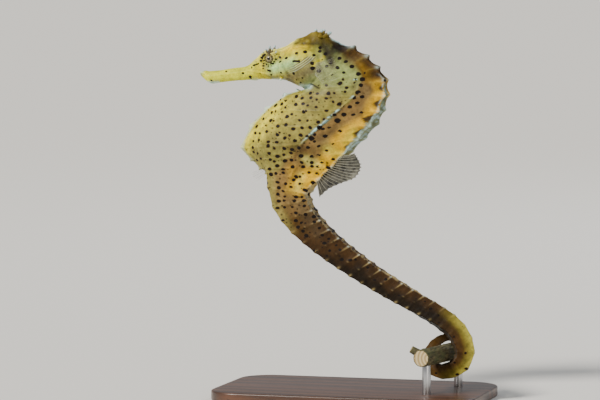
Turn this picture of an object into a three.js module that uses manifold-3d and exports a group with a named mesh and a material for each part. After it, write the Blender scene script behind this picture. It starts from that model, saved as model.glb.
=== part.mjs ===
// A longsnout seahorse as a life-size display model: the animal grips a short cut twig with its
// tail, and two short rods carry the twig on a flat base.
// Millimetres, +Z up. The snout points to -X, the back faces +X, and the left flank faces -Y.
// The origin is the centre of the base's underside.
import * as THREE from "three";
import { mergeVertices } from "three/addons/utils/BufferGeometryUtils.js";
import Module from "manifold-3d";

const wasm = await Module();
wasm.setup();

const { lerp, clamp, smoothstep, mapLinear, degToRad } = THREE.MathUtils;

// ---- Driving dimensions -------------------------------------------------------------------
const GAP = 0.3; // thin cut between neighbouring pieces
const SIDES = [["left", -1], ["right", 1]];

const TRUNK_RINGS = 11;
const TAIL_RINGS = 35;
const RING_CROWDING = 1.35; // tail rings crowd towards the tip: ring j is at 1 - (1 - j/35)^1.35
const TAIL_RIM_HEIGHT = 0.55; // of the first tail ring, shrinking with the tail's depth

const EYE = { x: -25.0, y: 1.95, z: 98.1, radius: 1.65 };
const TURRET = { inner: 0.6, outer: 2.75, foot: 2.7, rim: 2.15 }; // the raised rim round an eye
const BROW_SPINE = { foot: [-25.1, 2.0, 99.2], tip: [-24.9, 2.7, 101.9], thick: 0.8, thin: 0.3 };
const CHEEK_SPINE = { foot: [-21.3, 2.6, 93.2], tip: [-21.6, 3.2, 91.6], thick: 0.9, thin: 0.3 };

const CROWN = { x: -10.6, z: 104.1, height: 2.6, foot: 1.9, rim: 1.2, stretch: 1.8, tilt: -0.05 };
const CROWN_KNOBS = [
  { foot: [-11.6, 0, 104.6], tip: [-11.8, 0, 106.2] },
  { foot: [-10.2, 0.8, 104.6], tip: [-9.8, 1.4, 106.1] },
  { foot: [-10.2, -0.8, 104.6], tip: [-9.8, -1.4, 106.1] },
  { foot: [-9.3, 0.4, 104.4], tip: [-7.8, 0.8, 105.5] },
  { foot: [-9.3, -0.4, 104.4], tip: [-7.8, -0.8, 105.5] },
];
const KNOB = { thick: 0.6, thin: 0.36, bead: 0.42 };

// Each fin is a thin plate between a base line and the line of its ray tips.
const FIN_THICKNESS = 0.5;
const DORSAL_FIN = {
  rays: 18,
  scallop: 0.05,
  base: [[-3.5, 70.2], [-7.4, 66.2], [-11.5, 62.6]],
  tips: [[-0.2, 70.9], [1.9, 67.3], [0.2, 63.9], [-4.0, 62.2], [-7.9, 60.4], [-10.6, 58.0]],
};
const ANAL_FIN = {
  rays: 5,
  scallop: 0.06,
  base: [[-27.7, 66.4], [-26.9, 65.9], [-26.1, 65.2]],
  tips: [[-30.9, 64.9], [-30.8, 63.6], [-29.4, 62.6]],
};
const PECTORAL_FIN = {
  rays: 16,
  scallop: 0.05,
  base: [[0, 2.0], [0.25, 0], [0, -2.0]],
  tips: [[5.0, 4.1], [7.2, 1.6], [7.0, -1.9], [4.6, -4.6]],
  root: [-9.8, 5.75, 95.2],
  spread: degToRad(20),
  droop: degToRad(8),
};

const TWIG = {
  centre: new THREE.Vector3(25.7, 0, 13.6), // where the tail's coil goes round it
  radius: 2.5,
  taper: 0.03,
  front: -13,
  back: 15,
  slope: 0.22, // how far it runs to +X for each millimetre towards +Y
  stub: { at: -10, foot: 1.3, tip: 1.05, reach: [-4, -1.2, 2.4] }, // a cut side shoot
};
const COIL = { turn: degToRad(325), startRadius: 5.0, endRadius: 3.6, behind: 5.0, drift: 0.3, points: 13 };

const BASE = { length: 78, width: 46, height: 3, corner: 9, bevel: 0.5 };
const ROD = { radius: 1.25, front: -9.5, back: 11, intoBase: 2, intoTwig: 1.4 };

// ---- Cross-section forms ------------------------------------------------------------------
// Half of a cross-section from the back (0, 1) to the belly (0, -1), as [width, height] shares.
// Point 2 is the superior ridge, 4 the lateral ridge, 6 the inferior ridge and 8 the keel.
const SNOUT_FORM = [
  [0, 1], [0.38, 0.93], [0.71, 0.71], [0.93, 0.38], [1, 0],
  [0.93, -0.38], [0.71, -0.71], [0.38, -0.93], [0, -1],
];
const HEAD_FORM = [
  [0, 1], [0.24, 0.9], [0.46, 0.66], [0.72, 0.33], [0.93, 0],
  [1, -0.33], [0.86, -0.66], [0.5, -0.91], [0, -1],
];
const NECK_FORM = [
  [0, 0.975], [0.07, 0.985], [0.15, 1], [0.61, 0.65], [0.97, 0.16],
  [0.98, -0.25], [0.77, -0.62], [0.41, -0.87], [0, -1],
];
const TRUNK_FORM = [
  [0, 0.93], [0.32, 0.95], [0.61, 1], [0.83, 0.6], [1, 0.16],
  [0.94, -0.25], [0.73, -0.62], [0.38, -0.86], [0, -1],
];
const TAIL_FORM = [
  [0, 0.88], [0.42, 0.91], [0.84, 1], [0.92, 0.5], [0.97, 0],
  [0.93, -0.5], [0.82, -0.96], [0.42, -0.95], [0, -0.97],
];
const FORMS = [SNOUT_FORM, HEAD_FORM, NECK_FORM, TRUNK_FORM, TAIL_FORM];
// How much of a ring's raised rim each of those points carries, on the trunk and on the tail.
const TRUNK_RIM = [0.1, 0.2, 1, 0.15, 0.45, 0.15, 0.3, 0.2, 0.55];
const TAIL_RIM = [0.1, 0.25, 1, 0.3, 0.25, 0.3, 0.75, 0.3, 0.2];

// ---- Measuring stations -------------------------------------------------------------------
// Down the head: the back and belly edges of each cross-section as [x, z], its half width, and
// its form as a place in FORMS.
const HEAD_STATIONS = [
  { back: [-46.7, 94.3], belly: [-46.4, 92.8], half: 0.9, form: 0 }, // lips
  { back: [-45.3, 94.3], belly: [-44.7, 91.3], half: 1.45, form: 0 }, // lower jaw
  { back: [-43.6, 94.2], belly: [-43.2, 90.6], half: 1.7, form: 0 }, // chin
  { back: [-40.7, 94.4], belly: [-40.4, 91.0], half: 1.65, form: 0 },
  { back: [-36.5, 95.1], belly: [-36.3, 91.5], half: 1.6, form: 0 }, // middle of the snout
  { back: [-32.6, 95.7], belly: [-32.3, 91.8], half: 1.85, form: 0.1 }, // root of the snout
  { back: [-29.9, 97.9], belly: [-29.4, 92.0], half: 2.5, form: 0.5 }, // nostrils
  { back: [-27.2, 100.2], belly: [-26.9, 92.1], half: 3.2, form: 0.9 }, // eyes
  { back: [-23.8, 100.5], belly: [-24.1, 92.0], half: 3.9, form: 1 }, // behind the brow
  { back: [-20.3, 101.7], belly: [-21.2, 91.8], half: 4.6, form: 1 },
  { back: [-16.6, 103.9], belly: [-18.4, 91.2], half: 5.1, form: 1 },
  { back: [-12.1, 104.6], belly: [-16.6, 90.4], half: 5.3, form: 1 }, // crown and gill covers
  { back: [-7.5, 103.8], belly: [-15.6, 89.6], half: 5.0, form: 1.25 }, // nape and throat
];
// The same at each trunk ring, and how far the tubercles on its back stand out.
const TRUNK_STATIONS = [
  { back: [-1.3, 101.1], belly: [-15.1, 89.3], half: 4.8, form: 1.9, spike: 1.4 },
  { back: [2.7, 98.4], belly: [-15.3, 89.0], half: 4.8, form: 2.03, spike: 1.0 },
  { back: [6.0, 95.4], belly: [-15.9, 88.8], half: 5.0, form: 2.1, spike: 0.8 },
  { back: [8.3, 91.9], belly: [-17.5, 88.5], half: 5.4, form: 2.4, spike: 0.75 },
  { back: [8.5, 87.7], belly: [-21.0, 87.4], half: 6.1, form: 2.6, spike: 0.7 },
  { back: [7.0, 83.3], belly: [-26.6, 83.3], half: 6.8, form: 2.85, spike: 0.7 },
  { back: [4.8, 79.2], belly: [-31.2, 78.3], half: 7.3, form: 3, spike: 0.7 },
  { back: [1.0, 75.0], belly: [-33.8, 72.2], half: 7.4, form: 3, spike: 0.7 }, // deepest
  { back: [-2.7, 71.1], belly: [-31.0, 68.7], half: 6.9, form: 3, spike: 0.5 },
  { back: [-6.5, 67.2], belly: [-28.5, 66.3], half: 6.1, form: 3.2, spike: 0.4 },
  { back: [-10.3, 63.6], belly: [-26.6, 64.9], half: 5.4, form: 3.6, spike: 0.4 },
];
// The line down the middle of the tail from the vent to where the coil starts, as [x, z].
const TAIL_LINE = [
  [-18.6, 64.3], [-19.8, 60.6], [-19.2, 56.7], [-16.2, 51.6], [-10.1, 45.7], [-2.9, 40.4], [4.1, 35.9],
  [11.4, 31.7], [18.2, 28.0], [24.5, 24.5], [29.9, 20.3], [32.3, 15.7], [32.1, 12.4], [29.7, 9.8],
];
// The tail by share of its length: depth and half width in millimetres, then its roll to the left
// and how far the back of each ring leans towards the tip, in degrees.
const TAIL_DEPTH = [
  [0, 12.2], [0.07, 9.9], [0.12, 8.6], [0.2, 7.5], [0.36, 6.1], [0.57, 5.3], [0.65, 5.1], [0.7, 4.6], [1, 0.9],
];
const TAIL_HALF = [[0, 5.1], [0.12, 4.3], [0.36, 3.2], [0.57, 2.6], [0.7, 2.25], [1, 0.45]];
const TAIL_ROLL = [[0, 0], [0.05, 4], [0.2, 6], [0.45, 6], [0.62, 28], [0.7, 24], [0.77, 0], [1, 0]];
const TAIL_LEAN = [[0, 0], [0.15, 22], [0.5, 26], [0.62, 5], [1, 0]];

const RING_START = HEAD_STATIONS.length; // station of trunk ring 1
const TAIL_START = RING_START + TRUNK_RINGS; // station of tail ring 1
const LAST = TAIL_START + TAIL_RINGS - 1; // station of the tail's tip

// The body's lengths from snout to tail tip, and where their outlines fall within each ring.
const FINE = [0, 0.2, 0.5, 0.8];
const MEDIUM = [0, 0.25, 0.75];
const COARSE = [0, 0.5];
const LENGTHS = [
  { name: "snout", from: 0, to: 5 },
  { name: "head", from: 5, to: 12.5 },
  { name: "neck", from: 12.5, to: 15.5, places: FINE },
  { name: "trunk_upper", from: 15.5, to: 19.5, places: FINE },
  { name: "trunk_lower", from: 19.5, to: 23.5, places: FINE },
  { name: "tail_base", from: 23.5, to: 29.5, places: MEDIUM },
  { name: "tail_middle", from: 29.5, to: 35.5, places: MEDIUM },
  { name: "tail_lower", from: 35.5, to: 40.5, places: MEDIUM },
  { name: "tail_curl", from: 40.5, to: 46.5, places: MEDIUM },
  { name: "tail_coil", from: 46.5, to: 51.5, places: COARSE },
  { name: "tail_tip", from: 51.5, to: LAST, places: COARSE },
];
const HEAD_PLACES = [0, 1 / 3, 2 / 3];
const NEAREST_OUTLINES = 0.08; // outlines are never closer than this share of a station

// ---- Materials ----------------------------------------------------------------------------
function finish(color, roughness, metalness = 0) {
  return new THREE.MeshStandardMaterial({ color, roughness, metalness });
}
const TRUNK_SKIN = finish(0xb59a4a, 0.6);
const SNOUT_SKIN = finish(0xb3a05a, 0.6);
const TAIL_SKIN = finish(0x6e5226, 0.6);
const FIN_SKIN = finish(0x9a9a80, 0.5);
const EYE_SURFACE = finish(0x4a4228, 0.15);
const BARK = finish(0x3a4a2a, 0.85);
const DARK_WOOD = finish(0x2a1c14, 0.45);
const STEEL = finish(0xb8b8ba, 0.35, 1);

// ---- Interpolation ------------------------------------------------------------------------
// Straight lines between the table's [share, value] pairs.
function valueAt(table, share) {
  const k = Math.max(1, table.findIndex(([at]) => at >= share));
  const [t0, v0] = table[k - 1];
  const [t1, v1] = table[k];
  return mapLinear(share, t0, t1, v0, v1);
}

// A smooth curve through the values, one for each station.
function curveAt(values, s) {
  const i = Math.min(Math.floor(s), values.length - 2);
  const t = s - i;
  const [a, b, c, d] = [-1, 0, 1, 2].map((k) => values[clamp(i + k, 0, values.length - 1)]);
  return b + 0.5 * t * (c - a + t * (2 * a - 5 * b + 4 * c - d + t * (3 * (b - c) + d - a)));
}

const splineThrough = (points) => new THREE.SplineCurve(points.map(([x, y]) => new THREE.Vector2(x, y)));

// ---- The tail's line ----------------------------------------------------------------------
// A place on the twig's axis.
function onTwig(y) {
  return new THREE.Vector3(TWIG.centre.x + TWIG.slope * y, y, TWIG.centre.z);
}

// The coil winds nearly once round the twig and slips behind the tail's own descending length.
function coilPoint(turn) {
  const radius = lerp(COIL.startRadius, COIL.endRadius, turn / COIL.turn);
  const y = COIL.behind * smoothstep(turn, 0, Math.PI) + COIL.drift * turn;
  return onTwig(y).add(new THREE.Vector3(-radius * Math.sin(turn), 0, -radius * Math.cos(turn)));
}

const coilStep = COIL.turn / (COIL.points - 1);
const coilPoints = Array.from({ length: COIL.points }, (_, i) => coilPoint(i * coilStep));
const tailLine = new THREE.CatmullRomCurve3(
  [...TAIL_LINE.map(([x, z]) => new THREE.Vector3(x, 0, z)), ...coilPoints],
  false,
  "centripetal",
);
tailLine.arcLengthDivisions = 600;

// ---- Sections: a centre, a half-depth vector towards the back and a half-width vector ------
function bodySection({ back, belly, half, form, spike = 0 }) {
  const top = new THREE.Vector3(back[0], 0, back[1]);
  const bottom = new THREE.Vector3(belly[0], 0, belly[1]);
  return {
    centre: top.clone().add(bottom).multiplyScalar(0.5),
    up: top.clone().sub(bottom).multiplyScalar(0.5),
    side: new THREE.Vector3(0, half, 0),
    form,
    spike,
  };
}

function tailSection(ring) {
  const share = 1 - (1 - ring / TAIL_RINGS) ** RING_CROWDING;
  const along = tailLine.getTangentAt(share);
  const side = new THREE.Vector3(0, 1, 0).addScaledVector(along, -along.y).normalize();
  side.applyAxisAngle(along, -degToRad(valueAt(TAIL_ROLL, share)));
  const lean = Math.tan(degToRad(valueAt(TAIL_LEAN, share)));
  const up = along.clone().cross(side).addScaledVector(along, lean);
  const depth = valueAt(TAIL_DEPTH, share);
  return {
    centre: tailLine.getPointAt(share),
    up: up.multiplyScalar(depth / 2),
    side: side.multiplyScalar(valueAt(TAIL_HALF, share)),
    form: FORMS.indexOf(TAIL_FORM),
    spike: (TAIL_RIM_HEIGHT * depth) / TAIL_DEPTH[0][1],
  };
}

const sections = [
  ...HEAD_STATIONS.map(bodySection),
  ...TRUNK_STATIONS.map(bodySection),
  ...Array.from({ length: TAIL_RINGS }, (_, i) => tailSection(i + 1)),
];

function numberAt(key, s) {
  return curveAt(sections.map((section) => section[key]), s);
}

function vectorAt(key, s) {
  const along = (axis) => curveAt(sections.map((section) => section[key][axis]), s);
  return new THREE.Vector3(along("x"), along("y"), along("z"));
}

// A ring's rim is a sharp crest at each whole station of the trunk and tail.
function ringCrest(s) {
  return s < RING_START - 0.5 ? 0 : (0.5 + 0.5 * Math.cos(2 * Math.PI * s)) ** 4;
}

// The body's closed outline at station s, from the back down the left flank and up the right.
function outlineAt(s) {
  const centre = vectorAt("centre", s);
  const up = vectorAt("up", s);
  const side = vectorAt("side", s);
  const form = clamp(numberAt("form", s), 0, FORMS.length - 1);
  const lower = Math.min(Math.floor(form), FORMS.length - 2);
  const tailness = smoothstep(s, TAIL_START - 2, TAIL_START + 1);
  const crest = numberAt("spike", s) * ringCrest(s);
  const pointAt = (i, sign) => {
    const [w0, h0] = FORMS[lower][i];
    const [w1, h1] = FORMS[lower + 1][i];
    const out = side.clone().multiplyScalar(sign * lerp(w0, w1, form - lower));
    out.addScaledVector(up, lerp(h0, h1, form - lower));
    const raised = crest * lerp(TRUNK_RIM[i], TAIL_RIM[i], tailness);
    return centre.clone().add(out).addScaledVector(out.normalize(), raised);
  };
  const half = FORMS[0].map((_, i) => i);
  const left = half.map((i) => pointAt(i, -1));
  const right = half.slice(1, -1).map((i) => pointAt(i, 1));
  return [...left, ...right.reverse()];
}

// ---- Solids -------------------------------------------------------------------------------
function solid(geometry) {
  const bare = geometry.clone();
  bare.deleteAttribute("normal");
  bare.deleteAttribute("uv");
  const merged = mergeVertices(bare, 1e-4);
  return new wasm.Manifold(
    new wasm.Mesh({
      numProp: 3,
      vertProperties: new Float32Array(merged.attributes.position.array),
      triVerts: new Uint32Array(merged.index.array),
    }),
  );
}

function meshOf(name, manifold, material) {
  const { vertProperties, triVerts } = manifold.getMesh();
  const geometry = new THREE.BufferGeometry();
  geometry.setAttribute("position", new THREE.BufferAttribute(vertProperties, 3));
  geometry.setIndex(new THREE.BufferAttribute(triVerts, 1));
  geometry.computeVertexNormals();
  const mesh = new THREE.Mesh(geometry, material);
  mesh.name = name;
  return mesh;
}

// A closed solid through the body's outlines at the given stations.
function loft(stations) {
  const rows = stations.map(outlineAt);
  const n = rows[0].length;
  const points = rows.flat();
  const triangles = [];
  for (let i = 0; i < rows.length - 1; i++)
    for (let j = 0; j < n; j++) {
      const a = i * n + j;
      const b = i * n + ((j + 1) % n);
      triangles.push(a, b, b + n, a, b + n, a + n);
    }
  const cap = (row, start, facesBack) => {
    const middle = points.length;
    points.push(row.reduce((sum, p) => sum.add(p), new THREE.Vector3()).divideScalar(n));
    for (let j = 0; j < n; j++) {
      const a = start + j;
      const b = start + ((j + 1) % n);
      triangles.push(middle, facesBack ? b : a, facesBack ? a : b);
    }
  };
  cap(rows[0], 0, true);
  cap(rows[rows.length - 1], (rows.length - 1) * n, false);
  const geometry = new THREE.BufferGeometry();
  geometry.setAttribute("position", new THREE.Float32BufferAttribute(points.flatMap((p) => p.toArray()), 3));
  geometry.setIndex(triangles);
  return solid(geometry);
}

// Half the thin cut at station s, as a share of a station.
function halfCut(s) {
  const step = 0.05;
  const travelled = vectorAt("centre", s - step).distanceTo(vectorAt("centre", s + step));
  return (GAP * step) / travelled;
}

function bodyLength({ from, to, places = HEAD_PLACES }) {
  const start = from === 0 ? from : from + halfCut(from);
  const end = to === LAST ? to : to - halfCut(to);
  const stations = [start];
  for (let whole = Math.floor(from); whole <= to; whole++)
    for (const place of places) {
      const s = whole + place;
      if (s > start + NEAREST_OUTLINES && s < end - NEAREST_OUTLINES) stations.push(s);
    }
  return loft([...stations, end]);
}

function ball(centre, radius, segments) {
  return solid(new THREE.SphereGeometry(radius, segments, Math.round(segments * 0.7)).translate(...centre));
}

// A round taper from one point to another.
function taper(from, to, startRadius, endRadius, segments) {
  const axis = to.clone().sub(from);
  const geometry = new THREE.CylinderGeometry(endRadius, startRadius, axis.length(), segments);
  geometry.applyQuaternion(
    new THREE.Quaternion().setFromUnitVectors(new THREE.Vector3(0, 1, 0), axis.normalize()),
  );
  const middle = from.clone().add(to).multiplyScalar(0.5);
  return solid(geometry.translate(middle.x, middle.y, middle.z));
}

// ---- Head ---------------------------------------------------------------------------------
const eyeCentre = (sign) => [EYE.x, sign * EYE.y, EYE.z];

function spine({ foot, tip, thick, thin }, sign) {
  const [a, b] = [foot, tip].map(([x, y, z]) => new THREE.Vector3(x, sign * y, z));
  return taper(a, b, thick, thin, 8);
}

// The eyes sit in raised turrets, with a spine over each brow and under each cheek.
function headWithSockets(plainHead) {
  let head = plainHead;
  for (const [, sign] of SIDES) {
    const inner = new THREE.Vector3(EYE.x, sign * TURRET.inner, EYE.z);
    const outer = new THREE.Vector3(EYE.x, sign * TURRET.outer, EYE.z);
    head = head.add(taper(inner, outer, TURRET.foot, TURRET.rim, 18));
    head = head.add(spine(BROW_SPINE, sign)).add(spine(CHEEK_SPINE, sign));
  }
  for (const [, sign] of SIDES) head = head.subtract(ball(eyeCentre(sign), EYE.radius + GAP, 14));
  return head;
}

// The coronet: a low crown on the nape with five blunt knobs, leaning back.
function coronet(head) {
  const crown = new THREE.CylinderGeometry(CROWN.rim, CROWN.foot, CROWN.height, 12).rotateX(Math.PI / 2);
  let made = solid(crown.scale(CROWN.stretch, 1, 1).rotateY(CROWN.tilt).translate(CROWN.x, 0, CROWN.z));
  for (const { foot, tip } of CROWN_KNOBS) {
    const stalk = taper(new THREE.Vector3(...foot), new THREE.Vector3(...tip), KNOB.thick, KNOB.thin, 8);
    made = made.add(stalk).add(ball(tip, KNOB.bead, 6));
  }
  return made.subtract(head.translate([0, 0, GAP]));
}

// ---- Fins ---------------------------------------------------------------------------------
// A flat plate from the base line out to a margin that is scalloped between the ray tips.
function finPlate({ rays, scallop, base, tips }) {
  const baseLine = splineThrough(base);
  const tipLine = splineThrough(tips);
  const steps = 2 * (rays - 1);
  const shape = new THREE.Shape();
  for (let i = 0; i <= steps; i += 2) {
    const foot = baseLine.getPoint(i / steps);
    if (i === 0) shape.moveTo(foot.x, foot.y);
    else shape.lineTo(foot.x, foot.y);
  }
  for (let i = steps; i >= 0; i--) {
    const reach = i % 2 ? 1 - scallop : 1;
    const edge = baseLine.getPoint(i / steps).lerp(tipLine.getPoint(i / steps), reach);
    shape.lineTo(edge.x, edge.y);
  }
  const plate = new THREE.ExtrudeGeometry(shape, { depth: FIN_THICKNESS, bevelEnabled: false });
  return plate.translate(0, 0, -FIN_THICKNESS / 2).rotateX(Math.PI / 2);
}

// Cuts a fin back from the body pieces beside it, with the thin cut along the way out.
function clearOf(fin, pieces, way) {
  const step = new THREE.Vector3(...way).setLength(GAP).toArray();
  let made = fin;
  for (const piece of pieces) made = made.subtract(piece).subtract(piece.translate(step));
  return made.decompose().reduce((best, body) => (body.volume() > best.volume() ? body : best));
}

// A pectoral fin fans from behind the gill cover, held a little off the neck.
function pectoralFin(sign, pieces) {
  const [x, y, z] = PECTORAL_FIN.root;
  const plate = finPlate(PECTORAL_FIN).rotateZ(sign * PECTORAL_FIN.spread).rotateY(PECTORAL_FIN.droop);
  return clearOf(solid(plate.translate(x, sign * y, z)), pieces, [0, sign, 0]);
}

// ---- Twig and stand -----------------------------------------------------------------------
function rod(y, clearance = 0) {
  const foot = onTwig(y).setZ(BASE.height - ROD.intoBase - clearance);
  const top = onTwig(y).setZ(TWIG.centre.z - TWIG.radius + ROD.intoTwig + clearance);
  return taper(foot, top, ROD.radius + clearance, ROD.radius + clearance, 20);
}

function drilledForRods(piece) {
  return [ROD.front, ROD.back].reduce((made, y) => made.subtract(rod(y, GAP)), piece);
}

function twig() {
  const { radius, taper: change, front, back, stub } = TWIG;
  const stem = taper(onTwig(front), onTwig(back), radius * (1 - change), radius * (1 + change), 16);
  const foot = onTwig(stub.at);
  const shoot = taper(foot, foot.clone().add(new THREE.Vector3(...stub.reach)), stub.foot, stub.tip, 10);
  return drilledForRods(stem.add(shoot));
}

function standBase() {
  const inset = BASE.bevel + BASE.corner;
  const x = BASE.length / 2 - inset;
  const y = BASE.width / 2 - inset;
  const outline = new THREE.Shape();
  [[x, y], [-x, y], [-x, -y], [x, -y]].forEach(([cx, cy], quarter) => {
    outline.absarc(cx, cy, BASE.corner, (quarter * Math.PI) / 2, ((quarter + 1) * Math.PI) / 2, false);
  });
  const plate = new THREE.ExtrudeGeometry(outline, {
    depth: BASE.height - 2 * BASE.bevel,
    bevelThickness: BASE.bevel,
    bevelSize: BASE.bevel,
    bevelSegments: 1,
    curveSegments: 6,
  });
  return drilledForRods(solid(plate.translate(0, 0, BASE.bevel)));
}

// ---- Assembly -----------------------------------------------------------------------------
const SKINS = { snout: SNOUT_SKIN, head: TRUNK_SKIN, neck: TRUNK_SKIN, trunk: TRUNK_SKIN, tail: TAIL_SKIN };
const lengths = Object.fromEntries(LENGTHS.map((length) => [length.name, bodyLength(length)]));
const seahorse = new THREE.Group();
const add = (name, manifold, material) => seahorse.add(meshOf(name, manifold, material));

for (const [name, piece] of Object.entries(lengths))
  add(name, name === "head" ? headWithSockets(piece) : piece, SKINS[name.split("_")[0]]);
add("coronet", coronet(lengths.head), TRUNK_SKIN);
for (const [side, sign] of SIDES) {
  add(`eye_${side}`, ball(eyeCentre(sign), EYE.radius, 14), EYE_SURFACE);
  add(`pectoral_fin_${side}`, pectoralFin(sign, [lengths.head, lengths.neck]), FIN_SKIN);
}
const vent = [lengths.trunk_lower, lengths.tail_base];
add("dorsal_fin", clearOf(solid(finPlate(DORSAL_FIN)), vent, [1, 0, 1]), FIN_SKIN);
add("anal_fin", clearOf(solid(finPlate(ANAL_FIN)), vent, [-3, 0, -4]), FIN_SKIN);

add("perch_twig", twig(), BARK);
add("stand_base", standBase(), DARK_WOOD);
add("stand_rod_front", rod(ROD.front), STEEL);
add("stand_rod_back", rod(ROD.back), STEEL);

export default seahorse;
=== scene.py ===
"""Looks for the longsnout seahorse display model: one painted skin over all its flesh, glossy eyes,
clear rayed fins, a cut stem as its perch, and a walnut and steel stand."""

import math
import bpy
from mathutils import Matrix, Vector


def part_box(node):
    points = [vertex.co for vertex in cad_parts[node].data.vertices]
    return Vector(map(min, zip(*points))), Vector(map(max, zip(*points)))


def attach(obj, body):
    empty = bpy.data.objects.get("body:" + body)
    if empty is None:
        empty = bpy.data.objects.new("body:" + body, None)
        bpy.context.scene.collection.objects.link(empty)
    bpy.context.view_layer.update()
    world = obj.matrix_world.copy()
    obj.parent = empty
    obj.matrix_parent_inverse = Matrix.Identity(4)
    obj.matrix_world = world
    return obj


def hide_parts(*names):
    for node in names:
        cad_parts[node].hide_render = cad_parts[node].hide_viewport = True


bl_info = {
    "name": "Longsnout Seahorse Display Model",
    "version": (1, 0, 0),
    "blender": (4, 5, 0),
    "location": "3D View > Sidebar > Seahorse",
    "description": "Builds the skin, eyes, fins, perch and stand of a life-size seahorse model",
    "category": "Add Mesh",
}

import bpy
import numpy as np
from bpy.props import FloatProperty, FloatVectorProperty, PointerProperty
from mathutils import Vector

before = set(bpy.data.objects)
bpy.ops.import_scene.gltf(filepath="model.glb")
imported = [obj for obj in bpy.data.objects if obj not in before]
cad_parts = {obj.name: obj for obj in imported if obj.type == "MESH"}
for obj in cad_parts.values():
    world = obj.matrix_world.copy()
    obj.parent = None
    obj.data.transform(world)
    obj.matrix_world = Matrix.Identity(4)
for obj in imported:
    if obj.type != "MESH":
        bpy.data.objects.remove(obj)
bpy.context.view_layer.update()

MM = 0.001
SIDES = (("left", -1), ("right", 1))


def linear(hex_colour):
    """An sRGB hex value as linear red, green, blue and alpha."""
    shares = [int(hex_colour[i : i + 2], 16) / 255 for i in (1, 3, 5)]
    bent = [c / 12.92 if c <= 0.04045 else ((c + 0.055) / 1.055) ** 2.4 for c in shares]
    return (*bent, 1.0)


# ---- The body's shape, in millimetres, as the CAD lengths have it ------------------------------
# Half of a cross-section from the back (0, 1) to the belly (0, -1), as (width, height) shares.
# Point 2 is the superior ridge, 4 the widest place, 6 the inferior ridge and 8 the keel.
SNOUT_FORM = [
    (0, 1), (0.38, 0.93), (0.71, 0.71), (0.93, 0.38), (1, 0),
    (0.93, -0.38), (0.71, -0.71), (0.38, -0.93), (0, -1),
]
HEAD_FORM = [
    (0, 1), (0.24, 0.9), (0.46, 0.66), (0.72, 0.33), (0.93, 0),
    (1, -0.33), (0.86, -0.66), (0.5, -0.91), (0, -1),
]
NECK_FORM = [
    (0, 0.975), (0.07, 0.985), (0.15, 1), (0.61, 0.65), (0.97, 0.16),
    (0.98, -0.25), (0.77, -0.62), (0.41, -0.87), (0, -1),
]
TRUNK_FORM = [
    (0, 0.93), (0.32, 0.95), (0.61, 1), (0.83, 0.6), (1, 0.16),
    (0.94, -0.25), (0.73, -0.62), (0.38, -0.86), (0, -1),
]
TAIL_FORM = [
    (0, 0.88), (0.42, 0.91), (0.84, 1), (0.92, 0.5), (0.97, 0),
    (0.93, -0.5), (0.82, -0.96), (0.42, -0.95), (0, -0.97),
]
FORMS = np.array([SNOUT_FORM, HEAD_FORM, NECK_FORM, TRUNK_FORM, TAIL_FORM], float)
SUPERIOR, INFERIOR, KEEL = 2, 6, 8  # places of the ridges in a form

# Back edge (x, z), belly edge (x, z), half width, form and tubercle height at each station.
HEAD_STATIONS = [
    (-46.7, 94.3, -46.4, 92.8, 0.9, 0, 0),  # lips
    (-45.3, 94.3, -44.7, 91.3, 1.45, 0, 0),  # lower jaw
    (-43.6, 94.2, -43.2, 90.6, 1.7, 0, 0),  # chin
    (-40.7, 94.4, -40.4, 91.0, 1.65, 0, 0),
    (-36.5, 95.1, -36.3, 91.5, 1.6, 0, 0),  # middle of the snout
    (-32.6, 95.7, -32.3, 91.8, 1.85, 0.1, 0),  # root of the snout
    (-29.9, 97.9, -29.4, 92.0, 2.5, 0.5, 0),  # nostrils
    (-27.2, 100.2, -26.9, 92.1, 3.2, 0.9, 0),  # eyes
    (-23.8, 100.5, -24.1, 92.0, 3.9, 1, 0),  # behind the brow
    (-20.3, 101.7, -21.2, 91.8, 4.6, 1, 0),
    (-16.6, 103.9, -18.4, 91.2, 5.1, 1, 0),
    (-12.1, 104.6, -16.6, 90.4, 5.3, 1, 0),  # crown and gill covers
    (-7.5, 103.8, -15.6, 89.6, 5.0, 1.25, 0),  # nape and throat
]
TRUNK_STATIONS = [
    (-1.3, 101.1, -15.1, 89.3, 4.8, 1.9, 1.4),
    (2.7, 98.4, -15.3, 89.0, 4.8, 2.03, 1.0),
    (6.0, 95.4, -15.9, 88.8, 5.0, 2.1, 0.8),
    (8.3, 91.9, -17.5, 88.5, 5.4, 2.4, 0.75),
    (8.5, 87.7, -21.0, 87.4, 6.1, 2.6, 0.7),
    (7.0, 83.3, -26.6, 83.3, 6.8, 2.85, 0.7),
    (4.8, 79.2, -31.2, 78.3, 7.3, 3, 0.7),
    (1.0, 75.0, -33.8, 72.2, 7.4, 3, 0.7),  # deepest
    (-2.7, 71.1, -31.0, 68.7, 6.9, 3, 0.5),
    (-6.5, 67.2, -28.5, 66.3, 6.1, 3.2, 0.4),
    (-10.3, 63.6, -26.6, 64.9, 5.4, 3.6, 0.4),
]
# The line down the middle of the tail from the vent to where the coil starts, as (x, z).
TAIL_LINE = [
    (-18.6, 64.3), (-19.8, 60.6), (-19.2, 56.7), (-16.2, 51.6), (-10.1, 45.7), (-2.9, 40.4), (4.1, 35.9),
    (11.4, 31.7), (18.2, 28.0), (24.5, 24.5), (29.9, 20.3), (32.3, 15.7), (32.1, 12.4), (29.7, 9.8),
]
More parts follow.
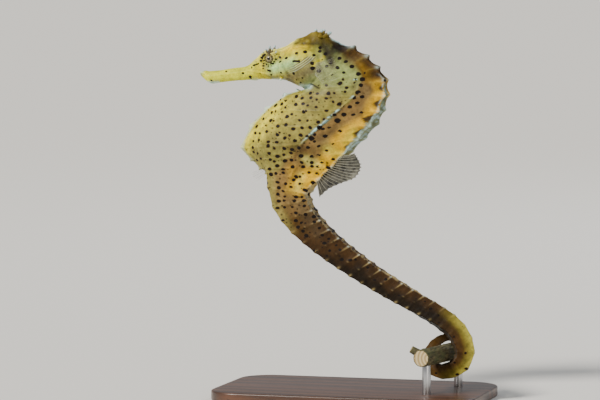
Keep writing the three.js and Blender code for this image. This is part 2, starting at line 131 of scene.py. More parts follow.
# By share of the tail's length: depth, half width, roll to the left and backward lean of a ring.
TAIL_DEPTH = [
    (0, 12.2), (0.07, 9.9), (0.12, 8.6), (0.2, 7.5), (0.36, 6.1), (0.57, 5.3), (0.65, 5.1), (0.7, 4.6),
    (1, 0.9),
]
TAIL_HALF = [(0, 5.1), (0.12, 4.3), (0.36, 3.2), (0.57, 2.6), (0.7, 2.25), (1, 0.45)]
TAIL_ROLL = [(0, 0), (0.05, 4), (0.2, 6), (0.45, 6), (0.62, 28), (0.7, 24), (0.77, 0), (1, 0)]
TAIL_LEAN = [(0, 0), (0.15, 22), (0.5, 26), (0.62, 5), (1, 0)]
TAIL_RINGS = 35
RING_CROWDING = 1.35
TAIL_RIM_HEIGHT = 0.55
TWIG_CENTRE = np.array([25.7, 0, 13.6])
TWIG_SLOPE = 0.22  # X for each Y along the twig
COIL = {"turn": math.radians(325), "start": 5.0, "end": 3.6, "behind": 5.0, "drift": 0.3, "points": 13}

RING_START = len(HEAD_STATIONS)  # station of trunk ring 1
TAIL_START = RING_START + len(TRUNK_STATIONS)  # station of tail ring 1
LAST = TAIL_START + TAIL_RINGS - 1  # station of the tail's tip

EYE = {"x": -25.0, "z": 98.1, "radius": 1.65}


# ---- Small mathematics -------------------------------------------------------------------------
def smooth(x, low, high):
    """0 below low and 1 above high, with a smooth step between them."""
    t = np.clip((x - low) / (high - low), 0, 1)
    return t * t * (3 - 2 * t)


def plateau(x, rise, top, edge, foot):
    """0 below rise, 1 from top to edge, and 0 again above foot."""
    return smooth(x, rise, top) * (1 - smooth(x, edge, foot))


def bell(x, width):
    """1 at 0, falling smoothly to each side."""
    return np.exp(-((x / width) ** 2))


def by_table(pairs, x):
    """Straight lines between the (x, value) pairs."""
    places, values = zip(*pairs)
    return np.interp(x, places, values)


def curve_at(values, s):
    """A smooth curve through the rows of values, at each place in s."""
    n = len(values)
    i = np.minimum(np.floor(s).astype(int), n - 2)
    t = (s - i).reshape((-1,) + (1,) * (values.ndim - 1))
    a, b, c, d = (values[np.clip(i + k, 0, n - 1)] for k in (-1, 0, 1, 2))
    return b + 0.5 * t * (c - a + t * (2 * a - 5 * b + 4 * c - d + t * (3 * (b - c) + d - a)))


def lumps(points, size, seed):
    """Soft lumps about size millimetres across, from -1 to 1: waves that run in fixed odd directions."""
    rng = np.random.default_rng(seed)
    waves = rng.normal(size=(9, 3)) * (2 * math.pi / size) * 0.6
    starts = rng.uniform(0, 2 * math.pi, 9)
    return np.sin(points @ waves.T + starts).sum(-1) / 4.2


def from_line(points, start, end):
    """How far each place lies from the line between two (x, z) places, seen from the side."""
    a, b = np.array(start, float), np.array(end, float)
    flat = points[..., (0, 2)]
    share = np.clip(((flat - a) @ (b - a)) / ((b - a) @ (b - a)), 0, 1)
    return np.linalg.norm(flat - a - share[..., None] * (b - a), axis=-1)


def stroke(points, start, end, width):
    """A soft stroke on both flanks from one (x, z) to another: 1 along it, 0 beyond its width."""
    return bell(from_line(points, start, end), width)


# ---- The tail's line ---------------------------------------------------------------------------
def coil_points():
    """The coil winds nearly once round the twig and slips behind the tail's own descending length."""
    turn = np.linspace(0, COIL["turn"], COIL["points"])
    radius = COIL["start"] + (COIL["end"] - COIL["start"]) * turn / COIL["turn"]
    y = COIL["behind"] * smooth(turn, 0, math.pi) + COIL["drift"] * turn
    x = TWIG_CENTRE[0] + TWIG_SLOPE * y - radius * np.sin(turn)
    z = TWIG_CENTRE[2] - radius * np.cos(turn)
    return np.stack([x, y, z], -1)


def tail_curve(fineness=40):
    """Places and shares of the length, closely along a centripetal curve through the tail's points."""
    given = np.concatenate([[(x, 0, z) for x, z in TAIL_LINE], coil_points()])
    before, after = 2 * given[0] - given[1], 2 * given[-1] - given[-2]
    points = np.concatenate([[before], given, [after]])
    places = []
    for p0, p1, p2, p3 in zip(points, points[1:], points[2:], points[3:]):
        d0, d1, d2 = (math.sqrt(np.linalg.norm(q - p)) for p, q in ((p0, p1), (p1, p2), (p2, p3)))
        t1 = ((p1 - p0) / d0 - (p2 - p0) / (d0 + d1) + (p2 - p1) / d1) * d1
        t2 = ((p2 - p1) / d1 - (p3 - p1) / (d1 + d2) + (p3 - p2) / d2) * d1
        t = np.linspace(0, 1, fineness, endpoint=False)[:, None]
        squared, cubed = -3 * p1 + 3 * p2 - 2 * t1 - t2, 2 * p1 - 2 * p2 + t1 + t2
        places.append(p1 + t * t1 + t**2 * squared + t**3 * cubed)
    places = np.concatenate([*places, given[-1:]])
    steps = np.linalg.norm(np.diff(places, axis=0), axis=1)
    lengths = np.concatenate([[0], np.cumsum(steps)])
    return places, lengths / lengths[-1]


# ---- Sections: a centre, a half-depth vector to the back and a half-width vector ----------------
def body_sections():
    """Each station's centre, up, side, form and tubercle height, as arrays."""
    rows = []
    for back_x, back_z, belly_x, belly_z, half, form, spike in HEAD_STATIONS + TRUNK_STATIONS:
        top, bottom = np.array([back_x, 0, back_z]), np.array([belly_x, 0, belly_z])
        rows.append(((top + bottom) / 2, (top - bottom) / 2, np.array([0, half, 0]), form, spike))
    places, shares = tail_curve()
    directions = np.gradient(places, axis=0)
    for ring in range(1, TAIL_RINGS + 1):
        share = 1 - (1 - ring / TAIL_RINGS) ** RING_CROWDING
        centre = np.array([np.interp(share, shares, places[:, axis]) for axis in range(3)])
        along = np.array([np.interp(share, shares, directions[:, axis]) for axis in range(3)])
        along /= np.linalg.norm(along)
        side = np.array([0.0, 1, 0]) - along * along[1]
        side /= np.linalg.norm(side)
        roll = -math.radians(by_table(TAIL_ROLL, share))
        side = side * math.cos(roll) + np.cross(along, side) * math.sin(roll)
        up = np.cross(along, side) + along * math.tan(math.radians(by_table(TAIL_LEAN, share)))
        depth = by_table(TAIL_DEPTH, share)
        spike = TAIL_RIM_HEIGHT * depth / TAIL_DEPTH[0][1]
        rows.append((centre, up * depth / 2, side * by_table(TAIL_HALF, share), len(FORMS) - 1, spike))
    keys = ("centre", "up", "side", "form", "spike")
    return {key: np.array([row[i] for row in rows], float) for i, key in enumerate(keys)}


SECTIONS = body_sections()


# ---- The skin's grid ---------------------------------------------------------------------------
# Heights in the section, by station, of the lateral ridge and of the line where the olive flank
# meets the golden back.
LATERAL_HEIGHT = [
    (0, 0), (12, 0), (14, 0.35), (16, 0.52), (17, 0.48), (18, 0.36), (19, 0.24), (20, 0.13), (22, 0.1),
    (24, 0.05), (26, 0), (58, 0),
]
BACK_COLOUR_HEIGHT = [
    (0, 0.9), (9, 0.9), (11, 0.75), (12, 0.6), (13, 0.55), (15, 0.56), (16, 0.52), (17, 0.48), (18, 0.36),
    (19, 0.24), (20, 0.13), (21, -0.08), (22, -0.35), (23, -0.62), (24, -0.72), (30, -0.8), (58, -0.8),
]
ROW_SPACING = [  # millimetres between rows, by station
    (0, 0.19), (4, 0.3), (5.5, 0.2), (6.1, 0.14), (8.2, 0.14), (9, 0.25), (13, 0.28), (24, 0.29), (58, 0.27),
]
COLUMNS = (12, 24, 24, 12)  # from the back to the superior, lateral and inferior ridges and the keel
COLUMN_CROWDING = 0.1  # how much the columns crowd towards the ridges
HALF_COLUMNS = sum(COLUMNS)
AROUND = 2 * HALF_COLUMNS
THIN_FROM = 23.4  # station past which every second column is left out
FINENESS = 16  # steps of a section's outline from one point of its form to the next


def row_stations():
    """The station of each row of the grid, closely spaced where the shape is fine."""
    fine = np.linspace(0, LAST, 6000)
    centre, up = (curve_at(SECTIONS[key], fine) for key in ("centre", "up"))
    moved = [np.linalg.norm(np.gradient(edge, axis=0), axis=1) for edge in (centre + up, centre - up)]
    rows = np.cumsum(np.maximum(*moved) / by_table(ROW_SPACING, fine))
    rows -= rows[0]
    return np.interp(np.arange(0, int(rows[-1]) + 1) * rows[-1] / int(rows[-1]), rows, fine)


def half_outlines(s):
    """Each row's half outline from back to belly, closely, as (width, height) shares."""
    form = np.clip(curve_at(SECTIONS["form"], s), 0, len(FORMS) - 1)
    lower = np.minimum(np.floor(form).astype(int), len(FORMS) - 2)
    share = (form - lower)[:, None, None]
    corners = FORMS[lower] * (1 - share) + FORMS[lower + 1] * share
    mirrored = corners * (-1, 1)
    corners = np.concatenate([mirrored[:, 1:2], corners, mirrored[:, -2:-1]], axis=1)
    places = np.arange(KEEL * FINENESS + 1) / FINENESS + 1
    return curve_at(corners.transpose(1, 0, 2), places).transpose(1, 0, 2)


class Grid:
    """The skin's smooth grid: rows down the body, columns round it, with places along and across.
    What each row has one of is a column of values, so that it spreads over the row."""

    def __init__(self):
        self.s = row_stations()
        self.station = self.s[:, None]
        self.centre, self.up, self.side = (curve_at(SECTIONS[k], self.s) for k in ("centre", "up", "side"))
        self.spike = np.clip(curve_at(SECTIONS["spike"], self.s), 0, None)[:, None]
        self.size = np.linalg.norm(self.up, axis=1)[:, None] / 4  # the depth as a share of 8 mm
        outlines = half_outlines(self.s)
        flat = outlines[..., :1] * self.side[:, None] + outlines[..., 1:] * self.up[:, None]
        steps = np.linalg.norm(np.diff(flat, axis=1), axis=2)
        arcs = np.concatenate([np.zeros((len(self.s), 1)), np.cumsum(steps, axis=1)], axis=1)
        # Past the superior ridge the height only falls, so a height gives one place on the outline.
        falls = slice(SUPERIOR * FINENESS, None)

        def arc_at(heights):
            rows = zip(heights, outlines[:, falls, 1], arcs[:, falls])
            return np.array([[np.interp(-level, -row, arc)] for level, row, arc in rows])

        self.superior, inferior, keel = (arcs[:, i * FINENESS, None] for i in (SUPERIOR, INFERIOR, KEEL))
        self.lateral = arc_at(by_table(LATERAL_HEIGHT, self.s))
        self.boundary = arc_at(by_table(BACK_COLOUR_HEIGHT, self.s))
        self.arc = self._columns((0 * keel, self.superior, self.lateral, inferior, keel))
        self.from_superior, self.from_lateral = self.arc - self.superior, self.arc - self.lateral
        self.from_inferior, self.from_keel = self.arc - inferior, self.arc - keel
        self.points = self._points(arcs, outlines)
        self.unrolled = self._unrolled(arc_at(np.zeros(len(self.s))))
        self.spacing = self._spacing()

    def _columns(self, stops):
        """Distance round each row of each column, with columns along the ridges."""
        arcs = [stops[0]]
        for count, start, end in zip(COLUMNS, stops, stops[1:]):
            t = np.arange(1, count + 1) / count
            arcs.append(start + (end - start) * (t - COLUMN_CROWDING * np.sin(2 * math.pi * t)))
        return np.concatenate(arcs, axis=1)

    def _points(self, arcs, outlines):
        """Places on each row's outline, on the left flank and then back round the right one."""
        width, height = (
            np.array([np.interp(*row) for row in zip(self.arc, arcs, outlines[..., i])]) for i in (0, 1)
        )
        across = width[..., None] * self.side[:, None]
        high = self.centre[:, None] + height[..., None] * self.up[:, None]
        return np.concatenate([high - across, (high + across)[:, -2:0:-1]], axis=1)

    def _unrolled(self, middle):
        """Each half outline laid flat in the plane of symmetry, in mm, so that patterns keep their scale."""
        way = self.up[:, (0, 2)] / np.linalg.norm(self.up[:, (0, 2)], axis=1, keepdims=True)
        return self.centre[:, None, (0, 2)] + (middle - self.arc)[..., None] * way[:, None]

    def _spacing(self):
        """Millimetres for each station at each place of the left half."""
        half = self.points[:, : HALF_COLUMNS + 1]
        return np.linalg.norm(np.gradient(half, axis=0), axis=2) / np.gradient(self.s)[:, None]

    def whole(self, half):
        """A value on the left half, mirrored to the whole way round."""
        return np.concatenate([half, half[:, -2:0:-1]], axis=1)

    def normals(self):
        """The way out of the skin at each place."""
        down = np.gradient(self.points, axis=0)
        across = np.roll(self.points, -1, axis=1) - np.roll(self.points, 1, axis=1)
        normal = np.cross(across, down)
        return normal / np.maximum(np.linalg.norm(normal, axis=2, keepdims=True), 1e-9)


# ---- Relief ------------------------------------------------------------------------------------
TRUNK_SPAN = (12.4, 13.3, 23, 25)  # stations where the trunk's relief sets in and where it ends
TOOTH_LEAN = 1.45  # how much steeper the rings' rims fall on their tail side
LATERAL_RIDGE = [
    (14.5, 0), (16, 0.06), (17.2, 0.12), (18.2, 0.4), (19.6, 0.42), (20.6, 0.12), (24, 0.06), (58, 0),
]
GILL_ARC = {"x": -22.2, "z": 108.1, "inner": 12.7, "outer": 15.2, "spacing": 0.62}
GILL_ARC_ENDS = {"front": -20.3, "top": 99.3}
GILL_COVER = {"x": -15.6, "z": 95.6, "long": 6.3, "high": 5.6}
# Bony lines, bumps and slits of the head: height, start, end and width in mm, and where they set in
# beside the middle of the back.
HEAD_LINES = [
    (0.22, (-24.2, 99.9), (-13.5, 103.2), 0.5, (0.6, 1.4)),  # crest
    (0.22, (-32, 94.7), (-23, 93.3), 0.4, None),  # cheek
    (0.18, (-29.6, 97.4), (-26.6, 99.8), 0.4, (0.5, 1.0)),  # in front of the brow
    (0.1, (-44.5, 92.7), (-32, 94.3), 0.4, None),  # side of the snout
    (0.2, (-21.4, 96.0), (-19.4, 93.1), 0.4, None),  # front edge of the gill cover
    (0.2, (-19.4, 93.1), (-15.6, 91.7), 0.4, None),
    (-0.16, (-20.6, 96.4), (-18.4, 93.4), 0.35, None),
    (0.3, (-30.8, 92.2), (-29.8, 92.0), 0.5, None),  # chin bump
    (-0.25, (-24, 96.8), (-19, 99.5), 0.9, None),  # hollow behind the eye
    (-0.28, (-29.4, 97.0), (-29.2, 97.1), 0.22, (0.4, 0.8)),  # nostril
    (-0.4, (-12.4, 90.9), (-9.4, 89.7), 0.22, None),  # gill slit
    (-0.16, (-46.9, 93.9), (-45.0, 93.1), 0.13, None),  # mouth
    (0.09, (-45.6, 94.0), (-44.9, 94.2), 0.4, None),  # upper lip
]
# The orbit: how far out the skin lies (y) at each distance from the eye's axis. It dips under the
# eyeball, turns up at the lid, and slopes away down the turret.
ORBIT = [
    (0, 2.2), (1.0, 2.4), (1.2, 2.78), (1.36, 3.16), (1.52, 3.3), (1.72, 3.18), (1.95, 2.92), (2.15, 2.86),
    (2.4, 2.72), (3.2, 2.0),
]
CROWN = {"x": -10.9, "long": 3.3, "wide": 1.75, "height": 0.95, "above": 98}


def ring_fold(s, sharpness, bluntness=0.0, lean=1.0):
    """1 at each ring's rim, falling in a hollow curve to 0 halfway to the next."""
    shift = s - np.rint(s)
    near = np.hypot(np.where(shift > 0, lean * shift, shift), bluntness) - bluntness
    return np.clip(1 - 2 * near, 0, 1) ** sharpness


def relief_of_rings(g):
    """Heights along the normal and along the radius of the rings, ridges and tubercles."""
    s, spike, size = g.station, g.spike, g.size
    trunk, tail = plateau(s, *TRUNK_SPAN), smooth(s, 22.8, 24.6)
    shift = s - np.rint(s)
    rim_line = bell(shift * g.spacing, 0.3) * smooth(g.spacing, 0.6, 2.2)
    fold = ring_fold(s, 2.3, 0, TOOTH_LEAN)
    soft_fold = ring_fold(s, 1.6, 0, TOOTH_LEAN)

    # On the trunk the rims rise from the lateral ridge to tubercles on the superior ridge.
    climb = np.clip(-g.from_lateral / np.maximum(g.lateral - g.superior, 0.1), 0, 1)
    knob = spike * ring_fold(s, 2.3, 0.11, TOOTH_LEAN) * bell(g.from_superior, 0.8)
    on_flank = (g.from_superior > 0) * (g.from_lateral < 0)
    flank_fold = spike * soft_fold * (0.06 + 0.4 * climb**2.2) * on_flank
    back_fold = spike * fold * 0.35 * (g.from_superior <= 0)
    normal = trunk * (flank_fold * smooth(g.from_superior, 0, 1.2) + 0.25 * back_fold)
    normal += trunk * 0.3 * bell(g.from_superior, 0.45)
    normal += trunk * 0.1 * rim_line * smooth(g.from_lateral, 0, 1.5)
    normal += by_table(LATERAL_RIDGE, s) * bell(g.from_lateral, 0.4) * (1 + 0.7 * rim_line)
    normal += trunk * 0.12 * bell(g.from_inferior, 0.6) * (1 + rim_line)
    normal += trunk * bell(g.from_keel, 1.3) * (0.1 + 0.75 * fold * smooth(g.spacing, 0.8, 2))
    radial = trunk * (knob + 0.3 * spike * fold * bell(g.from_superior, 2.2))

    # On the tail each ring is a collar that swells towards its rim, with knobs on its four ridges.
    collar = np.where(shift < 0, (1 + 2 * shift) ** 1.8, (1 - 2 * shift) ** 3.2)
    rim = bell(shift * g.spacing, 0.16 * g.spacing)
    knobs = bell(g.from_superior, 0.42 * size) + 0.72 * bell(g.from_inferior, 0.42 * size)
    edges = bell(g.from_superior, 0.35 * size) + 0.8 * bell(g.from_inferior, 0.35 * size)
    side_knob = bell(g.from_lateral, 0.4 * size) * (1 - smooth(s, 38, 44))
    normal += tail * size * (0.09 * collar + 0.05 * rim + 0.14 * edges)
    normal += tail * spike * 0.4 * collar * side_knob
    radial += tail * spike * 0.8 * (0.45 * collar + 0.55 * rim) * knobs
    return normal, radial


def relief_of_head(g, points):
    """Heights along the normal of the gill covers, bony lines, nostrils and mouth, on both sides."""
    x, z, s = points[..., 0], points[..., 2], g.station
    head = 1 - smooth(s, 12.6, 13.6)
    back = g.whole(g.arc)
    across = np.hypot((x - GILL_COVER["x"]) / GILL_COVER["long"], (z - GILL_COVER["z"]) / GILL_COVER["high"])
    cover = np.sqrt(np.clip(1 - across**2, 0, 1)) * 0.5 + 0.16 * (1 - smooth(across, 0.93, 1.0))
    rear = smooth(x - GILL_COVER["x"], -3.5, 0)
    far = np.hypot(x - GILL_ARC["x"], z - GILL_ARC["z"])
    inner, outer = GILL_ARC["inner"], GILL_ARC["outer"]
    on_arc = plateau(far, inner, inner + 0.3, outer - 0.3, outer)
    on_arc *= smooth(x, GILL_ARC_ENDS["front"], GILL_ARC_ENDS["front"] + 2)
    on_arc *= 1 - smooth(z, GILL_ARC_ENDS["top"] - 1, GILL_ARC_ENDS["top"])
    ridges = on_arc * 0.07 * np.cos(2 * math.pi * far / GILL_ARC["spacing"])
    made = head * (cover * (0.45 + 0.55 * rear) + ridges)
    made += head * 0.3 * bell(back, 0.45) * smooth(s, 6.6, 8)  # keel up the forehead
    made += 0.12 * bell(back, 0.4) * plateau(s, 1.5, 2.5, 5.5, 6.6)  # ridge along the snout
    for height, start, end, width, clear in HEAD_LINES:
        beside = smooth(back, *clear) if clear else 1
        made += height * stroke(points, start, end, width) * beside
    made += 0.1 * lumps(points, 3.5, 3) * smooth(s, 5, 8) * head
    return made + (0.035 * lumps(points, 1.2, 7) + 0.02 * lumps(points, 0.6, 8)) * head * smooth(s, 1, 6)


def from_eye(points):
    """How far each place lies from the eyes' axis, seen from the side."""
    return np.hypot(points[..., 0] - EYE["x"], points[..., 2] - EYE["z"])


def with_orbits(points):
    """Sinks the sockets and raises wrinkled turrets round them."""
    made = points.copy()
    out, far = np.abs(points[..., 1]), from_eye(points)
    turn = np.arctan2(points[..., 2] - EYE["z"], points[..., 0] - EYE["x"])
    wrinkle = 0.6 * np.sin(11 * turn + 2 * np.sin(turn)) + 0.4 * np.sin(17 * turn + 4 * far)
    wrinkle += 0.8 * lumps(points, 0.8, 23)
    target = by_table(ORBIT, far) + 0.07 * wrinkle * plateau(far, 1.4, 1.6, 2.4, 3.2)
    target += np.clip(out - target, 0, None) * smooth(far, 1.7, 3.0)  # the cheek stands out below
    share = (1 - smooth(far, 2.5, 3.5)) * smooth(out, 0.7, 1.7)
    made[..., 1] = np.sign(points[..., 1]) * (out + (target - out) * share)
    return made


def crown_mound(points):
    """How far the low crown lifts the nape: an oval with steep sides."""
    across = np.hypot((points[..., 0] - CROWN["x"]) / CROWN["long"], points[..., 1] / CROWN["wide"])
    return CROWN["height"] * (1 - smooth(across, 0.55, 1.25)) * (points[..., 2] > CROWN["above"])


def shaped_points(g):
    """The grid's points with all their relief."""
    ring_normal, ring_radial = relief_of_rings(g)
    radius = g.points - g.centre[:, None]
    radius /= np.maximum(np.linalg.norm(radius, axis=2, keepdims=True), 1e-9)
    height = g.whole(ring_normal) + relief_of_head(g, g.points)
    height += 0.05 * lumps(g.points, 1.6, 5) * smooth(g.station, 7, 12)
    points = g.points + g.normals() * height[..., None] + radius * g.whole(ring_radial)[..., None]
    points[..., 2] += crown_mound(points)
    return with_orbits(points)


def hollowness(g, points, reach=6):
    """How deep each place lies in the relief round it, in mm: above 0 in folds and below 0 on ridges."""
    height = ((points - g.points) * g.normals()).sum(-1)
    spread = height
    for _ in range(reach):
        ahead, behind = np.concatenate([spread[1:], spread[-1:]]), np.concatenate([spread[:1], spread[:-1]])
        spread = (spread + ahead + behind + np.roll(spread, 1, 1) + np.roll(spread, -1, 1)) / 5
    return spread - height


# ---- The skin's paint --------------------------------------------------------------------------
# Broad colours down the flank and down the back, by station, as names in SkinSettings. The tail's brown
# carries painted shade.
FLANK_TONES = [
    (0, "snout"), (5, "snout"), (7, "head"), (10.5, "head"), (12.5, "neck"), (15, "neck"), (17, "olive"),
    (22, "olive"), (23.5, "cream"), (25.5, "cream"), (27.5, "umber"), (30, "tail_brown"), (39, "tail_brown"),
    (42, "umber"), (50, "umber"), (58, "tail_brown"),
]
BACK_TONES = [
    (0, "snout"), (5.5, "snout"), (7, "head"), (9.5, "head"), (10.5, "ochre"), (11.7, "ochre"),
    (12.4, "nape"), (12.7, "nape"), (13.3, "bronze"), (15.5, "bronze"), (17.0, "orange"), (24.8, "orange"),
    (26.4, "bronze"), (28.2, "umber"), (32, "tail_brown"), (39, "tail_brown"), (42, "bronze"),
    (50, "bronze"), (58, "tail_brown"),
]
# Soft strokes of the airbrush on both flanks, in order: colour, strength, start, end and width, in mm.
STROKES = [
    ("grey_green", 0.92, (-23.5, 95.4), (-17.5, 96.6), 2.1),  # cheek
    ("taupe", 0.85, (-18.5, 92.6), (-12.0, 95.0), 2.2),  # gill cover
    ("taupe", 0.3, (-19.0, 92.2), (-15.0, 91.6), 0.9),
    ("taupe", 0.4, (-12.0, 97.2), (-9.5, 95.0), 1.4),
    ("gold", 0.3, (-20.5, 100.8), (-13.5, 101.6), 1.3),  # temple
    ("taupe", 0.45, (-24.5, 92.9), (-18.5, 92.3), 1.2),
    ("head", 0.75, (-11.2, 96.4), (-8.2, 98.8), 0.6),
    # painted shade: the grey-brown stripe behind the ridge of the head
    ("taupe", 0.7, (-7.4, 100.2), (-5.6, 95.8), 1.0),
    ("ochre", 0.8, (-16.5, 103.9), (-12.0, 104.2), 1.3),  # crest
    ("nape", 0.75, (-17.5, 102.5), (-10.5, 102.4), 0.6),  # brown line below the crest: painted shade under its edge
    ("nape", 0.75, (-9.4, 102.0), (-5.6, 100.6), 1.2),
    ("nape", 0.75, (-8.6, 100.6), (-6.0, 98.0), 1.2),
    ("nape", 0.6, (-7.6, 99.2), (-5.8, 97.0), 1.2),
    ("gold", 0.12, (1.5, 97.0), (5.0, 92.0), 1.3),
    ("gold", 0.7, (-4.6, 74.6), (-0.8, 78.2), 1.2),
    ("umber", 0.35, (-11.5, 89.8), (-8.0, 92.0), 1.2),
    ("cream", 0.5, (-29.5, 71.0), (-25.0, 66.5), 1.4),
    ("taupe", 0.4, (-17.5, 59.0), (-10.0, 48.5), 2.2),
    ("nape", 0.5, (-12.6, 101.6), (-9.2, 101.4), 0.8),
    ("neck", 0.6, (-5.0, 93.5), (-2.0, 90.5), 2.0),
    ("straw", 0.8, (-23.5, 84.0), (-28.5, 77.0), 3.2),  # breast
    ("straw", 0.9, (-31.2, 75.4), (-32.2, 71.6), 1.5),
    ("bronze", 0.65, (-17.0, 72.6), (-12.6, 71.2), 2.2),  # below the end of the lateral ridge
    ("bronze", 0.25, (-9.0, 75.4), (-3.0, 80.2), 1.5),
    ("gold", 0.9, (-13.0, 65.0), (-15.0, 60.5), 2.0),  # tail base
    ("gold", 0.4, (-17.5, 66.5), (-17.0, 63.0), 1.4),
    ("orange", 0.5, (-14.6, 60.6), (-11.2, 56.4), 1.5),
    ("bone", 0.4, (-13.2, 69.2), (-9.8, 67.6), 1.3),
    ("bone", 0.35, (-14.6, 64.4), (-16.2, 60.6), 1.2),
    ("gold", 0.35, (-0.4, 76.6), (-3.6, 73.4), 1.6),
    ("straw", 0.5, (-1.5, 74.5), (0.8, 77.5), 1.3),
    ("straw", 0.35, (-21.5, 82.0), (-17.0, 84.5), 3.0),
    ("straw", 0.45, (-6.6, 72.2), (-3.0, 70.6), 1.5),
    ("shadow", 0.95, (-12.4, 90.9), (-9.4, 89.7), 0.28),  # gill slit
    ("pale_edge", 0.8, (-15.4, 90.4), (-12.8, 90.1), 0.8),  # throat: pale, brightened with painted light where it faces down
    ("pale_edge", 0.8, (-44.2, 90.9), (-41.0, 91.0), 0.45),  # lower jaw
    ("pale_edge", 0.7, (-46.9, 93.9), (-46.0, 94.2), 0.5),  # upper lip
    ("slate", 0.7, (-46.9, 93.5), (-46.0, 93.2), 0.35),
    ("pale_edge", 0.75, (-30.8, 91.8), (-29.4, 91.8), 0.5),  # chin
    ("pale_edge", 0.75, (-24, 91.9), (-20.4, 91.6), 0.5),
]
# By station, the depth of the painted shade between the tubercles, and how many mm the strip between the
# superior ridges reaches past them.
HOLLOW_SHADE = [(13, 0), (14, 0.3), (15.1, 0.42), (15.4, 0.95), (18.4, 1), (19.5, 0.8), (21, 0.4), (24, 0.3)]
STRIP_OVERHANG = [(16, -0.5), (17.5, -0.4), (18.8, 1.1), (20.2, 1.0), (21.3, 0)]
# Spots listed one by one on the head and neck, where the gill cover and eye leave room: x, z, radius.
HEAD_SPOTS = [
    (-38.6, 94.2, 0.22), (-33.3, 93.8, 0.33), (-31.1, 92.7, 0.38), (-43.0, 91.6, 0.26), (-30.6, 95.5, 0.25),
    (-27.6, 97.4, 0.36), (-26.7, 96.0, 0.3), (-26.8, 95.2, 0.2), (-27.7, 93.8, 0.18), (-24.1, 93.6, 0.24),
    (-22.0, 98.6, 0.34), (-21.5, 97.3, 0.36), (-19.6, 98.3, 0.42), (-20.9, 94.2, 0.3), (-16.9, 94.1, 0.36),
    (-16.4, 99.5, 0.42), (-13.9, 99.9, 0.48), (-9.9, 101.3, 0.4), (-9.8, 100.3, 0.42), (-8.1, 99.6, 0.48),
    (-11.3, 99.1, 0.42), (-8.8, 98.0, 0.22), (-11.5, 96.8, 0.46), (-11.3, 95.5, 0.56), (-9.5, 94.7, 0.52),
    (-7.3, 96.1, 0.42), (-6.2, 97.1, 0.42), (-3.9, 98.3, 0.46), (-2.0, 97.4, 0.46), (-4.2, 95.7, 0.48),
    (-0.2, 96.0, 0.54), (-2.3, 94.3, 0.38), (-3.2, 92.6, 0.4), (-0.1, 93.4, 0.24), (-16.2, 92.4, 0.2),
    (-14.4, 92.9, 0.22), (-15.2, 91.6, 0.22), (-5.6, 93.6, 0.26),
]
# The large spots that follow the lateral ridge, listed one by one too.
RIDGE_SPOTS = [
    (1.8, 93.9, 0.56), (3.0, 92.4, 0.6), (2.7, 90.7, 0.52), (3.2, 87.4, 0.52), (1.9, 85.7, 0.48),
    (-0.2, 84.5, 0.52), (3.1, 82.9, 0.42), (-1.8, 82.3, 0.6), (0.8, 82.3, 0.48), (-3.6, 80.6, 0.72),
    (-7.2, 76.1, 0.58), (-2.9, 77.6, 0.48), (-9.1, 73.2, 0.46), (-12.2, 72.8, 0.48), (-16.0, 74.7, 0.52),
    (-14.3, 70.3, 0.58), (-11.3, 70.2, 0.48), (-6.0, 78.6, 0.4), (-5.2, 73.9, 0.4), (-8.6, 68.4, 0.4),
    (-9.2, 70.6, 0.4), (-5.4, 69.4, 0.42),
]
LONG_SPOTS = [  # start, end, radius
    ((-17.1, 97.3), (-15.2, 97.3), 0.3), ((-30.2, 96.0), (-28.4, 96.6), 0.24),
    ((-25.2, 94.8), (-24.4, 94.5), 0.26), ((-24.6, 97.0), (-23.8, 96.8), 0.26),
    ((-27.1, 98.3), (-26.5, 99.1), 0.34),
]
ORBIT_STREAKS = 16  # short dark strokes and dots all round the turret
SPOT_LENGTHENING = 1.3  # the spots are longer along the floor than they are high
HAND_SPOTS_UNTIL = (14.6, 15.4)  # stations where the listed spots give way to the pattern
NO_SPOT = 9.0  # millimetres to a spot that stand for none
LATERAL_LIGHT = [  # how strong the lateral ridge's paler colour and painted highlight are: they break up into dots at its upper end
    (15.4, 0), (15.5, 0.8), (15.65, 0), (16.9, 0), (17.05, 0.9), (17.2, 0), (17.85, 0), (17.95, 0.9),
    (18.1, 0.4), (18.3, 1), (19.2, 1), (19.4, 0.5), (19.6, 0.7), (19.8, 0.15), (20.1, 0),
]
# Other amounts by station: how pale the tubercles' tips, the keel and the tail's rims are, partly their
# own colour and partly a painted bluish highlight, and how strong the tail's bars and dots.
TIP_LIGHT = [(13, 1), (13.7, 0.6), (15, 0.6), (16, 1), (17, 0.8), (24, 0.7)]
KEEL_LIGHT = [(12, 0), (13, 0.9), (17.5, 0.9), (19, 0.6), (20, 0.45), (21.5, 0.15), (24, 0.1), (58, 0)]
RIM_LIGHT = [(24, 0.5), (26, 0.45), (38, 0.4), (41, 0.25), (58, 0.1)]
RIM_SHIFT = 0.05  # stations that the rims' paint lies ahead of them
MARKS = [(23.5, 0), (25.5, 0.7), (28, 1), (36, 1), (39, 0.45), (42, 0)]
# Share of the pattern's cells that hold a spot, how large it is, and how many mm above the back's
# edge the last one lies.
SPOTS_OFTEN = [(14.6, 0), (15.2, 0.92), (26, 0.95), (28.5, 0.8), (31, 0.5), (36, 0.35), (44, 0.2), (50, 0)]
SPOTS_LARGER = [(21, 1), (24, 1.12), (28, 1.05), (34, 0.8), (58, 0.6)]
LAST_SPOT = [(15, 1.4), (18, 1.6), (19, 4.0), (23, 7.0)]
